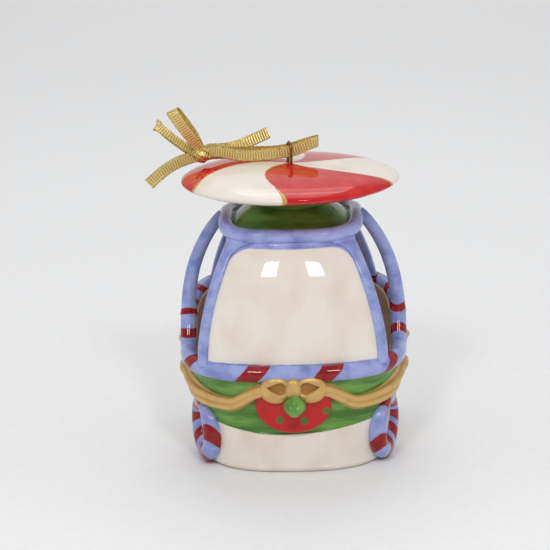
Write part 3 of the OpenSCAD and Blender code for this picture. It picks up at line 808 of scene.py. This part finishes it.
def rounded_slab(body, z, left, right, front, back, sides, square):
    """A slab of the cabin's face between two edges: each row's section is a rounded rectangle, a
    superellipse of the given squareness whose depth follows from the place across, with front and back
    standing out by their amounts."""
    half = np.cos(np.linspace(0, np.pi, sides))
    depth = (1 - np.abs(half) ** square).clip(0) ** (1 / square)
    cx = np.concatenate([half, half[-2:0:-1]])
    sy = np.concatenate([depth, -depth[-2:0:-1]])
    x = (left + right)[:, None] / 2 + (right - left)[:, None] / 2 * cx
    out = (front + back) / 2 + (front - back) / 2 * sy
    return body.face_point(x, z[:, None], out)


# The painted border's width over the cream field and the radius of the field's upper corners
BORDER_TOP, BORDER_CORNER = 1.1, 4.5
# How far panels and pillars lap over each other, stand out, and reach down into the trim and up into the roof
PANEL_LAP, POST_LAP, POST_PROUD = 0.25, 0.15, 0.75
SILL_SUNK, PANEL_UP, POST_UP = 1.2, 0.5, 1.2


def border_distance(body, x, z, low):
    """Signed distance outside a panel's cream field, whose outline keeps clear of the top by the border and
    of both lower corners by a rise with the fourth power of the share of the way to the side. The upper
    corners are rounded: past the corner's middle the distance is measured from it."""
    side = np.abs(x) - body.face_half(z)[1] + body.b.pillar_w - 0.1
    top = z - (body.eaves_z - BORDER_TOP)
    foot = low + 1.3 + 1.4 * (x / body.half_w) ** 4 - z
    corner = np.hypot((side + BORDER_CORNER).clip(0), (top + BORDER_CORNER).clip(0)) - BORDER_CORNER
    return np.maximum.reduce([side, top, corner, foot])


def panel_grid(body, low):
    """The panel: a slab that fills the opening and has slightly eased edges."""
    z = face_rows(low, body.eaves_z + PANEL_UP, 90)
    half = body.opening(z) + PANEL_LAP
    return rounded_slab(body, z, -half, half, 0.0, -body.b.panel_t, 160, 14)


def pillar_grid(body, low, side):
    """A pillar: a slab from the opening's edge to the face's outer edge, with well rounded edges."""
    z = face_rows(low, body.eaves_z + POST_UP, 80)
    inner = body.opening(z) - POST_LAP
    outer = body.face_half(z)[1]
    left, right = (inner, outer) if side > 0 else (-outer, -inner)
    return rounded_slab(body, z, left, right, POST_PROUD, POST_PROUD - body.b.pillar_t, 24, 3.2)


def make_faces(body):
    """Front and rear panels with their pillars. The rear ones stand on the higher rim."""
    b = body.b
    sill = b.belt_r - SILL_SUNK
    for end, low, facing in (("front", b.belt_z + sill, 1), ("rear", body.rim_z + b.rim_rise + sill, -1)):
        turned = np.array([facing, facing, 1])
        grid = panel_grid(body, low) * turned
        border = {"border": border_distance(body, grid[..., 0], grid[..., 2], low)}
        bell_piece(f"{end}_cream_panel", shell(grid), "panel", [f"{end}_panel"], border)
        for side, word in SIDES:
            grid = pillar_grid(body, low, side * facing) * turned
            bell_piece(f"{end}_{word}_post", shell(grid), "blue", [f"{end}_{word}_pillar"])


def arch_path(body, side, steps):
    """Centre line of an arch: its width falls with the 2.1th power of its share while its height rises
    nearly evenly."""
    foot = np.array([body.half_w - TRIM_INSET - 0.1, 0, body.rim_z + body.b.belt_r - 2.2])
    head = np.array([body.r.half_w + body.r.bar_r / 2, 0, body.roof_rim_z(0) + 0.4])
    u = np.linspace(0, 1, steps)
    x = foot[0] - (foot[0] - head[0]) * u**2.1
    z = foot[2] + (head[2] - foot[2]) * (1 - (1 - u) ** 1.12)
    return np.stack([side * x, np.zeros(steps), z], -1), u


# Run up an arch from its foot and half width of its stripe, left and right
ARCH_STRIPES = {-1: [(0.4, 1.0)], 1: [(2.4, 1.1)]}
ARCH_STRIPE_LEAN = 0.5


def make_arches(body):
    """The two side arches: tubes that thin towards the roof and flare where they grow out of the rim."""
    for side, word in SIDES:
        path, u = arch_path(body, side, 140)
        radius = body.b.arch_r + (body.b.arch_top_r - body.b.arch_r) * u + 0.5 * np.exp(-u * 22)
        along_y = np.tile([0.0, 1.0, 0.0], (len(path), 1))
        rings = sweep(path, along_y, radius, radius, BAR_SIDES)
        run = arc_length(path)[:, None]
        stripe = {"stripe": stripe_distance(run, side * rings[..., 1], ARCH_STRIPES[side], ARCH_STRIPE_LEAN)}
        bell_piece(f"{word}_side_arch", shell(rings), "candy", [f"{word}_arch"], stripe)


# ---- Roof, neck and disc ---------------------------------------------------------------------


# How far the neck spreads where it grows out of the roof
FLARE = 1.6


def make_roof(body):
    """The blue rim bar, the green roof that rises from it to the round neck, and the neck."""
    r = body.r
    t = turns(320)
    path = body.roof_rim_point(t)
    out = unit(path * np.array([1, 1, 0]))
    rim = sweep(path, out, r.bar_r, r.bar_r, BAR_SIDES, closed=True)
    bell_piece("roof_edge_bar", shell(rim, True), "blue", ["roof_rim"])

    share = np.linspace(0, 1, 24)
    edge = path[None, :, :2] - (r.bar_r - 0.3) * out[None, :, :2]
    flat = edge + share[:, None, None] * (r.neck_r * out[None, :, :2] - edge)
    height = path[None, :, 2] + (body.roof_top_z - path[None, :, 2]) * np.sin(np.pi / 2 * share)[:, None]
    top = np.concatenate([flat, height[..., None]], -1)
    roof = np.concatenate([top, top[::-1] - np.array([0, 0, r.roof_t])])
    bell_piece("glazed_roof", shell(roof, True), "green", ["roof_panel"])

    low, high = (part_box("disc_neck")[k].z / MM for k in (0, 1))
    z = np.linspace(low, high, 30)
    flare = FLARE * np.exp(-(z - body.roof_top_z + 1.0) / 1.2) * (z > body.roof_top_z - 1)
    flare += 0.9 * np.exp(-(high - z) / 0.9)
    radius = r.neck_r + np.minimum(flare, FLARE)
    bell_piece("glazed_neck", shell(revolved(radius, z, t)), "green", ["disc_neck"])


# The swirl's edges: bearing at the disc's rim and how far each turns back on its way in, in degrees.
# Red lies between the first and the second, the third and the fourth, and the fifth and the sixth.
SWIRL_EDGES = [(-91, 60), (-24, 32), (34, 26), (95, 50), (152, 60), (210, 80)]
SWIRL_POWER = 1.3


def swirl_distance(x, y, rim_r):
    """Signed distance to the swirl's nearest edge, above zero in the red: an edge's bearing turns back by
    its twist times the 1.3th power of the share of the way in, and the gap in bearing times the radius is
    the distance."""
    r = np.hypot(x, y)
    t = np.degrees(np.arctan2(y, x))
    inward = np.clip(1 - r / rim_r, 0, 1) ** SWIRL_POWER
    edges = [rim - twist * inward for rim, twist in SWIRL_EDGES]
    gaps = [(t - e + 180) % 360 - 180 for e in edges]
    nearest = np.minimum.reduce([np.abs(g) for g in gaps])
    in_red = np.zeros(t.shape, bool)
    for start, stop in ((0, 1), (2, 3), (4, 5)):
        wide = (edges[stop] - edges[start]) % 360
        in_red |= ((t - edges[start]) % 360) < wide
    return np.where(in_red, 1, -1) * np.radians(nearest) * np.maximum(r, 0.4)


def make_disc(body):
    """The peppermint: a pillow of revolution, flat for most of its radius with a full round edge."""
    r = body.r
    a = np.linspace(-np.pi / 2, np.pi / 2, 150)
    radius = r.disc_r * np.cos(a)
    radius[[0, -1]] = 0.02
    thick = (1 - (radius / r.disc_r) ** 2.6).clip(0) ** 0.55
    z = body.disc_z + np.where(a > 0, r.disc_up, -r.disc_down) * thick
    t = turns(360)
    grid = revolved(radius, z, t)
    red = swirl_distance(grid[..., 0], grid[..., 1], r.disc_r)
    line_w = 0.3 + 0.8 * ease((np.hypot(grid[..., 0], grid[..., 1]) - 24) / 8)
    line = line_w / 2 - np.abs(red + line_w / 2)
    bell_piece("peppermint_candy", shell(grid), "peppermint", ["peppermint_disc"],
               {"swirl": red, "gold_line": line})


# ---- Relief ----------------------------------------------------------------------------------


# Share of a garland's length at its lowest point, and how much higher the rear ones hang
GARLAND_SAG, REAR_LIFT = 0.26, 5


def garland_line(body, u):
    """Bearing and height of a garland: a short dip beside the bow, then a long rise to its gathered end."""
    e, b = body.e, body.b
    t = np.radians(285 + 70 * u)
    last = b.belt_z - b.belt_r - e.garland_end
    low = min(2 * e.ring_r + 1, last)
    first = body.wreath_z + 3.8
    z = np.where(u < GARLAND_SAG, first + (low - first) * ease(u / GARLAND_SAG),
                 low + (last - low) * ease((u - GARLAND_SAG) / (1 - GARLAND_SAG)))
    return t, z


def make_garlands(body):
    """Four gold swags: an oval band whose radius ripples five times round in folds that wander along it,
    pinched once before its rounded, gathered end."""
    e = body.e
    u = np.linspace(0, 1, 200)
    band = e.garland_band * (1 + (e.garland_end / e.garland_band - 1) * ease(u))
    thick = 1.9 + 0.7 * ease((u - 0.6) / 0.3)
    proud = 2.2 + 0.8 * ease((u - 0.72) / 0.18)
    sides = 64
    w = turns(sides)[None, :]
    along = u[:, None]
    folds = 0.13 * np.cos(5 * w + 1.6 * np.sin(6 * along) + 0.6) * (0.6 + 0.4 * ease(along * 2))
    pinch = 1 - 0.16 * np.exp(-(((u - 0.80) / 0.03) ** 2))
    round_end = np.sqrt(np.clip(1 - ((u - 0.955) / 0.045).clip(0) ** 2, 0.02, 1))
    across = (band * pinch * round_end)[:, None] * (1 + folds)
    through = (thick * pinch * round_end)[:, None] * (1 + folds)
    upright = np.tile([0.0, 0.0, 1.0], (len(u), 1))
    t, z = garland_line(body, u)
    # Painted shade: the gold is darkened in the grooves between the folds
    shade = {"fold": (-0.05 - folds).clip(0) * 8}
    for end, facing, lift in (("", 1, 0), ("rear_", -1, REAR_LIFT)):
        path = body.point(t, z + lift, thick - proud)
        rings = sweep(path, upright, across, through, sides)
        for side, word in SIDES:
            node = f"{end}{word}_garland"
            grid = rings * np.array([side, facing, 1])
            bell_piece(f"{node}_swag", shell(grid), "gold", [node], shade)


# How far a raised relief piece reaches into the wall
RELIEF_SUNK = 1.2


def dome(centre, half_w, half_h, height):
    """A flat-backed oval raised from the XZ plane towards -Y: its height at share s of the way out and at
    place x, z from its middle is given by a function."""
    s = np.concatenate([np.linspace(0.01, 1, 60), [1.0]])[:, None]
    t = turns(120)
    x, z = s * half_w * np.cos(t), s * half_h * np.sin(t)
    y = -height(s, x, z) * np.ones_like(x)
    y[-1] = RELIEF_SUNK
    return np.stack([x, y, z], -1) + np.array(centre)


# Places of the wreath's dots, across and up, and their radius
WREATH_DOTS = [(-4.0, 17.7), (2.9, 17.3), (9.3, 20.0)]
DOT_R = 1.05


def make_wreath(body):
    """The dotted red wreath on the front, with its soft rounded edge."""
    e = body.e
    face = -body.half_sizes(np.array(body.wreath_z))[1]
    grid = dome((0, face, body.wreath_z - e.wreath_sag), e.wreath_w, e.wreath_h,
                lambda s, x, z: e.wreath_proud * (0.1 + 0.9 * np.sqrt(1 - s**5)))
    x, z = grid[..., 0], grid[..., 2]
    near = np.minimum.reduce([np.hypot(x - a, z - c) for a, c in WREATH_DOTS])
    bell_piece("dotted_wreath", shell(grid), "wreath", ["wreath"], {"dots": DOT_R - near})


# Where a bow loop's middle lies beside and over the bead, its half width and half height
LOOP_OUT, LOOP_UP, LOOP_W, LOOP_H = 4.9, 4.3, 4.7, 4.1


def make_bow(body):
    """The gold bow: two fat loops, each with a leaf-shaped hollow, a strap between them, and the lumpy green
    bead under it."""
    e = body.e
    face = -(body.half_sizes(np.array(body.wreath_z))[1] + e.wreath_proud)
    z = body.wreath_z + LOOP_UP
    parts, shades = [], []
    for side in (-1, 1):
        def hollow(x, z):
            """1 in the middle of the leaf, falling to 0 at its outline: it narrows away from the strap."""
            lean = 0.9 - 0.25 * side * x
            away = np.hypot((x + 0.2 * side) / 2.9, (z - 0.7 - 0.12 * side * x) / lean.clip(0.3) / 1.6)
            return ease((1.15 - away) / 0.5)

        centre = np.array([side * LOOP_OUT, face, z])
        parts.append(shell(dome(centre, LOOP_W, LOOP_H, lambda s, x, z: 0.2 + 1.9 * np.sqrt(1 - s**3.2)
                                * (1 - 0.72 * hollow(x, z)))))
        flat = parts[-1][0] - centre
        # Painted shade: the gold is darkened by the hollow's share, most in the leaf's middle
        shades.append(hollow(flat[:, 0], flat[:, 2]))
    strap = shell(dome((0, face, z + 0.4), 2.6, 3.3,
                       lambda s, x, z: 0.2 + 2.3 * np.sqrt(1 - s**4) - 0.25 * np.cos(2.4 * x) * (1 - s)))
    parts.append(strap)
    shades.append(np.zeros(len(strap[0])))
    fold = {"fold": np.concatenate(shades)}
    bell_piece("gold_bow", joined(*parts), "gold", ["wreath_bow"], fold)

    a = np.linspace(-np.pi / 2, np.pi / 2, 60)[:, None]
    t = turns(120)[None, :]
    tilt = np.arctan2(np.sin(a), np.cos(a) * np.cos(t))
    lump = 1 - 0.10 * np.sin(2 * tilt) ** 2 + 0.02 * np.cos(3 * t + 1) * np.cos(a)
    bead = e.knob_r * 1.03 * lump[..., None] * ball(a, t)
    bead += np.array([0.3, face - 0.8 * e.knob_r, body.wreath_z])
    bell_piece("green_bead", shell(bead), "bead", ["wreath_knob"])


# Middle bearings of a candy ring's stripes from its top, left and right rings, and a stripe's half width, in
# degrees
RING_STRIPES = {-1: [22, 98, 170, 232, 290, 338], 1: [38, 120, 188, 238, 286, 330]}
RING_LEAN = np.radians(16)
STRIPE_HALF = 15.5
# Wall left behind a ring's cord where it is flattened
WALL_SPARE = 0.2


def make_candy_rings(body):
    """Four striped rings that stand against the side walls, a front and a rear one on each side: a round
    cord round a circle, whose back is flattened wherever it would come out inside the wall."""
    e = body.e
    mid, cord_r = e.ring_r - e.ring_cord, e.ring_cord
    across = e.ring_r + e.ring_apart
    sunk = body.side_x(across, np.array(e.ring_r)) - e.ring_sunk
    t, w = turns(220)[:, None], turns(40)[None, :]
    s, c = np.sin(RING_LEAN), np.cos(RING_LEAN)
    middle = np.concatenate([sunk - mid * np.sin(t) * s, across + mid * np.sin(t) * c,
                             e.ring_r + mid * np.cos(t)], 1)
    away = np.concatenate([-np.sin(t) * s, np.sin(t) * c, np.cos(t)], 1)
    behind = body.b.wall - WALL_SPARE - (body.side_x(middle[:, 1], middle[:, 2]) - middle[:, 0])
    depth = np.where(np.sin(w) > 0, cord_r, behind.clip(WALL_SPARE, cord_r)[:, None])
    placed = (middle[:, None] + cord_r * np.cos(w)[..., None] * away[:, None]
              + (depth * np.sin(w))[..., None] * np.array([c, s, 0]))
    slant = np.degrees(t) + 14 * np.sin(w) + 10 * np.cos(w)
    for side, word in SIDES:
        gap = np.minimum.reduce([np.abs((slant - m + 180) % 360 - 180) for m in RING_STRIPES[side]])
        stripe = {"stripe": np.radians(STRIPE_HALF - gap) * mid}
        for end, where in ((-1, "front"), (1, "rear")):
            ring = shell(placed * np.array([side, end, 1]), True)
            bell_piece(f"{where}_{word}_candy_cane_ring", ring, "candy", [f"{where}_{word}_candy_ring"],
                       stripe)


# ---- Ribbon ----------------------------------------------------------------------------------

# The ribbon's route in millimetres, the same points as in the CAD source
KNOT = (-26, 7, 87.4)
LOOP = [(-23.5, 6, 88.4), (-21, 4.8, 88.6), (-18, 3.6, 88.2), (-15, 2.6, 87.8), (-12, 2, 87.8),
        (-9, 1.4, 88), (-6, 0.8, 88.4), (-3, 0.3, 88.8), (0, 0, 89.2), (2.5, 0.2, 89.8), (5, 0.7, 90.8),
        (7, 1.3, 91.4), (8.4, 2.4, 91.6), (8.2, 3.8, 91.4), (6.5, 4.8, 90.8), (4, 5.4, 90),
        (1, 5.8, 89), (-2, 6.2, 88.3), (-5, 6.8, 87.9), (-8, 7.6, 87.7), (-11, 8.4, 87.6),
        (-14, 9, 87.5), (-17, 9.2, 87.4), (-20, 8.8, 87.3), (-23, 8, 87.4)]
BOW_A = [(-27, 6.2, 89.8), (-28.4, 5.4, 92), (-30, 4.6, 94.4), (-31.6, 4, 96.8), (-33, 3.6, 99),
         (-34, 4, 100.6), (-34.2, 5.2, 101.2), (-33.4, 6.2, 100.4), (-32, 6.8, 98.4), (-30.4, 7.2, 96),
         (-28.8, 7.4, 93.4), (-27.4, 7.4, 90.2)]
BOW_B = [(-28.6, 7, 88.4), (-30.6, 6.4, 89.8), (-33, 6, 91.6), (-35.4, 5.8, 93.6), (-37.6, 6, 95.4),
         (-39, 6.6, 96.4), (-39.2, 7.8, 96.2), (-38, 8.6, 94.8), (-35.6, 8.8, 92.6), (-33, 8.6, 90.6),
         (-30.8, 8.2, 89), (-28.9, 7.8, 87.8)]
TAIL_A = [(-28.8, 6.4, 86.8), (-31, 5.8, 86.2), (-33.4, 5.2, 85.4), (-35.8, 4.4, 84.2),
          (-38, 3.6, 82.8), (-40, 3, 81.2), (-41.8, 2.6, 79.6)]
TAIL_B = [(-24, 8.9, 88.4), (-21, 10.4, 88.2), (-18, 11.6, 88.3), (-15, 12.2, 88.9), (-12, 12.4, 90.1),
          (-9, 12, 91.4), (-6.2, 11.4, 92.8)]
# Strands in the order in which the ribbon runs, each with the direction of its width
STRANDS = [(TAIL_A[::-1], (-0.45, 0, 1)), (BOW_A, (1, 0, 0.4)), (LOOP, (0, 0, 1)), (BOW_B, (0.1, 0.8, 0.6)),
           (TAIL_B, (0, 0.3, 1))]


def ribbon_route():
    """The whole ribbon from tail to tail: its points and the direction of its width at each, with a pass
    through the knot between strands. A width that would flip over is turned the other way round."""
    points, faces, last = [], [], None
    for k, (strand, face) in enumerate(STRANDS):
        face = np.array(face, float)
        if last is not None and face @ last < 0:
            face = -face
        if k:
            points.append(KNOT)
            faces.append(face + last)
        points += strand
        faces += [face] * len(strand)
        last = face
    return smooth_path(np.hstack([np.array(points, float), np.array(faces, float)]), 0.35)


def make_ribbon(body):
    """One flat woven strip with a fatter cord along each edge, and the knot that gathers it."""
    e = body.e
    route = ribbon_route()
    path, side = route[:, :3], unit(route[:, 3:])
    run = arc_length(path)
    sides = 28
    w = turns(sides)
    across = np.cos(w)
    square = np.sign(across) * np.abs(across) ** 0.8
    edge = np.exp(-(((np.abs(square) - 0.9) / 0.09) ** 2))
    thick = np.tile(e.ribbon_t / 2 + 0.09 * edge, (len(path), 1))
    ripple = 1 + 0.015 * np.sin(FULL * run / (e.thread * 2.5))
    wide = (e.ribbon_w / 2) * ripple[:, None] * (np.abs(square) / np.maximum(np.abs(across), 1e-3))[None, :]
    rings = sweep(path, side, np.minimum(wide, e.ribbon_w / 2 * 1.3), thick, sides)
    values = {"along": np.repeat(run, sides), "across": np.tile(square, len(path))}
    strands = ["ribbon_loop", "ribbon_bow_a", "ribbon_bow_b", "ribbon_tail_a", "ribbon_tail_b"]
    ribbon = bell_piece("gold_ribbon", shell(rings), "lame", strands, values)

    a = np.linspace(-np.pi / 2, np.pi / 2, 60)[:, None]
    t = turns(90)[None, :]
    pleat = 1 + 0.07 * np.cos(7 * a + 1.2 * np.sin(2 * t)) * np.cos(a)
    size = np.stack([2.5 * pleat, 2.2 * pleat, 2.6 * np.ones_like(pleat)], -1)
    turn = Matrix.Rotation(math.radians(35), 3, "Y")
    knot = (size * ball(a, t)) @ np.array(turn).T + np.array(KNOT)
    values = {"along": (t + 0 * a) / FULL * 14.4, "across": 0.95 * np.sin(2.4 * a) + 0 * t}
    piece = bell_piece("gold_knot", shell(knot), "lame", ["ribbon_knot"], values)


# ---- Operators -------------------------------------------------------------------------------


class PieceOperator:
    """Shared run of an operator that makes pieces: it fails loudly, because a cancelled one wouldn't stop
    the script."""

    def execute(self, context):
        before = len(bpy.data.objects)
        self.make(Body())
        if len(bpy.data.objects) == before:
            raise RuntimeError(f"{self.bl_label} made nothing")
        return {"FINISHED"}


class ORNAMENT_OT_wall(PieceOperator, bpy.types.Operator):
    """Make the cream skirt, the green sash and the brown lining."""

    bl_idname = "ornament.wall"
    bl_label = "Bell Wall"
    make = staticmethod(make_wall)


class ORNAMENT_OT_trim(PieceOperator, bpy.types.Operator):
    """Make the striped belt and rim."""

    bl_idname = "ornament.trim"
    bl_label = "Candy Trim"
    make = staticmethod(make_trim)


class ORNAMENT_OT_faces(PieceOperator, bpy.types.Operator):
    """Make the front and rear panels with their pillars."""

    bl_idname = "ornament.faces"
    bl_label = "Cabin Faces"
    make = staticmethod(make_faces)


class ORNAMENT_OT_arches(PieceOperator, bpy.types.Operator):
    """Make the two side arches."""

    bl_idname = "ornament.arches"
    bl_label = "Side Arches"
    make = staticmethod(make_arches)


class ORNAMENT_OT_roof(PieceOperator, bpy.types.Operator):
    """Make the roof rim, the roof and the neck."""

    bl_idname = "ornament.roof"
    bl_label = "Roof"
    make = staticmethod(make_roof)


class ORNAMENT_OT_disc(PieceOperator, bpy.types.Operator):
    """Make the peppermint disc."""

    bl_idname = "ornament.disc"
    bl_label = "Peppermint Disc"
    make = staticmethod(make_disc)


class ORNAMENT_OT_garlands(PieceOperator, bpy.types.Operator):
    """Make the four gold garlands."""

    bl_idname = "ornament.garlands"
    bl_label = "Garlands"
    make = staticmethod(make_garlands)


class ORNAMENT_OT_wreath(PieceOperator, bpy.types.Operator):
    """Make the dotted wreath."""

    bl_idname = "ornament.wreath"
    bl_label = "Wreath"
    make = staticmethod(make_wreath)


class ORNAMENT_OT_bow(PieceOperator, bpy.types.Operator):
    """Make the gold bow and the green bead."""

    bl_idname = "ornament.bow"
    bl_label = "Bow and Bead"
    make = staticmethod(make_bow)


class ORNAMENT_OT_candy_rings(PieceOperator, bpy.types.Operator):
    """Make the four striped candy rings."""

    bl_idname = "ornament.candy_rings"
    bl_label = "Candy Rings"
    make = staticmethod(make_candy_rings)


class ORNAMENT_OT_ribbon(PieceOperator, bpy.types.Operator):
    """Make the woven gold ribbon and its knot."""

    bl_idname = "ornament.ribbon"
    bl_label = "Ribbon"
    make = staticmethod(make_ribbon)


WIRE_NODES = ("clapper_staple", "clapper_link", "clapper_wire")


class ORNAMENT_OT_metal(bpy.types.Operator):
    """Give the eye pin and the clapper their finishes."""

    bl_idname = "ornament.metal"
    bl_label = "Pin and Clapper"

    def execute(self, context):
        dress("eye_pin", Palette.get("brass"))
        dress("clapper_bead", Palette.get("cream"))
        for node in WIRE_NODES:
            dress(node, Palette.get("steel"))
        return {"FINISHED"}


# The middle of the ornament, and each soft box's name, place, aim and edge length in metres, with the setting
# that gives its power
MIDDLE = (0, 0, 0.045)
SOFT_BOXES = [("left_box", (-0.18, -0.58, 0.60), MIDDLE, 0.11, "key"),
              ("right_box", (0.18, -0.58, 0.60), MIDDLE, 0.11, "key"),
              ("top_box", (0.0, 0.34, 0.90), MIDDLE, 0.5, "top"),
              ("wall_box", (0.0, 0.95, 1.1), (0, 1.0, 0), 0.7, "wall")]


def soft_box(name, place, aim, size, power):
    """A square soft light that faces a point; all in metres and watts."""
    light = bpy.data.lights.new(name, "AREA")
    light.size = size
    light.energy = power
    lamp = bpy.data.objects.new(name, light)
    lamp.location = place
    lamp.rotation_euler = (Vector(aim) - Vector(place)).to_track_quat("-Z", "Y").to_euler()
    bpy.context.scene.collection.objects.link(lamp)


def sweep_floor(material):
    """White paper: flat under the ornament, then a quarter circle up into an upright wall behind it."""
    q = np.linspace(0, np.pi / 2, 40)
    y = np.concatenate([[-1.6, 0.0], 0.75 + 0.5 * np.sin(q), [1.25]])
    z = np.concatenate([[0.0, 0.0], 0.5 - 0.5 * np.cos(q), [2.2]])
    x = np.array([-2.2, -0.7, 0.7, 2.2])
    grid = np.stack(np.broadcast_arrays(x[None, :], y[:, None], z[:, None]), -1)
    faces = grid_faces(len(y), len(x), False, False)[:, ::-1]
    floor = as_piece("paper_sweep", (grid.reshape(-1, 3) / MM, faces), material)


def white_room(s):
    """A white world: full strength from behind the ornament, and a share of it from the camera's side."""
    world = bpy.data.worlds.new("white_room")
    world.use_nodes = True
    tree = world.node_tree
    tree.nodes.clear()
    depth = add(tree, "SeparateXYZ", {}, {0: add(tree, "TexCoord").outputs["Generated"]}).outputs[1]
    level = calculate(tree, "MULTIPLY", mapped(tree, depth, -0.75, 0.25, s.front, 1), s.sky)
    back = add(tree, "Background", {"Color": (*linear("#f8f9fb"), 1)}, {"Strength": level})
    add(tree, "OutputWorld", {}, {"Surface": back.outputs[0]})
    return world


def placed_camera(s):
    """The camera in front of the ornament, turned round it by the orbit and leaning by the roll."""
    camera = bpy.data.cameras.new("camera")
    camera.lens = s.lens
    camera.sensor_width = 36
    camera.clip_start, camera.clip_end = 0.01, 20
    eye = bpy.data.objects.new("camera", camera)
    spot = Matrix.Translation((-s.aside, -s.distance, s.height))
    tilt = Matrix.Rotation(math.pi / 2 - s.pitch, 4, "X") @ Matrix.Rotation(-s.roll, 4, "Z")
    eye.matrix_world = Matrix.Rotation(s.orbit, 4, "Z") @ spot @ tilt
    return eye


class ORNAMENT_OT_stage(bpy.types.Operator):
    """Make the paper floor, the soft lights and the camera."""

    bl_idname = "ornament.stage"
    bl_label = "Stage"

    def execute(self, context):
        scene = context.scene
        s = scene.ornament_stage
        sweep_floor(Palette.get("paper"))
        scene.world = white_room(s)
        for name, place, aim, size, power in SOFT_BOXES:
            soft_box(name, place, aim, size, getattr(s, power))
        scene.camera = placed_camera(s)
        scene.collection.objects.link(scene.camera)
        scene.view_settings.view_transform = "Standard"
        return {"FINISHED"}


class ORNAMENT_PT_panel(bpy.types.Panel):
    """Lists the ornament's operators and its sizes and colours."""

    bl_idname = "ORNAMENT_PT_panel"
    bl_label = "Bell Ornament"
    bl_space_type = "VIEW_3D"
    bl_region_type = "UI"
    bl_category = "Ornament"

    def draw(self, context):
        layout = self.layout
        for operator in OPERATORS:
            layout.operator(operator.bl_idname)
        for name in GROUPS:
            group = getattr(context.scene, name)
            box = layout.box()
            for prop in group.bl_rna.properties:
                if prop.type == "FLOAT":
                    box.prop(group, prop.identifier)


OPERATORS = (ORNAMENT_OT_stage, ORNAMENT_OT_ribbon, ORNAMENT_OT_wall, ORNAMENT_OT_trim, ORNAMENT_OT_faces,
             ORNAMENT_OT_arches, ORNAMENT_OT_roof, ORNAMENT_OT_disc, ORNAMENT_OT_garlands, ORNAMENT_OT_wreath,
             ORNAMENT_OT_bow, ORNAMENT_OT_candy_rings, ORNAMENT_OT_metal)
GROUPS = {"bell_sizes": BellSizes, "roof_sizes": RoofSizes, "relief_sizes": ReliefSizes,
          "ornament_colours": OrnamentColours, "ornament_stage": StageSettings}


def register():
    """Register the property groups, the operators and the panel."""
    for name, group in GROUPS.items():
        bpy.utils.register_class(group)
        setattr(bpy.types.Scene, name, PointerProperty(type=group))
    for cls in (*OPERATORS, ORNAMENT_PT_panel):
        bpy.utils.register_class(cls)


def unregister():
    """Take back what register did."""
    for cls in reversed((*OPERATORS, ORNAMENT_PT_panel)):
        bpy.utils.unregister_class(cls)
    for name, group in GROUPS.items():
        delattr(bpy.types.Scene, name)
        bpy.utils.unregister_class(group)


def main():
    """Build everything in order."""
    register()
    for operator in OPERATORS:
        group, name = operator.bl_idname.split(".")
        getattr(getattr(bpy.ops, group), name)()


if __name__ == "__main__":
    main()
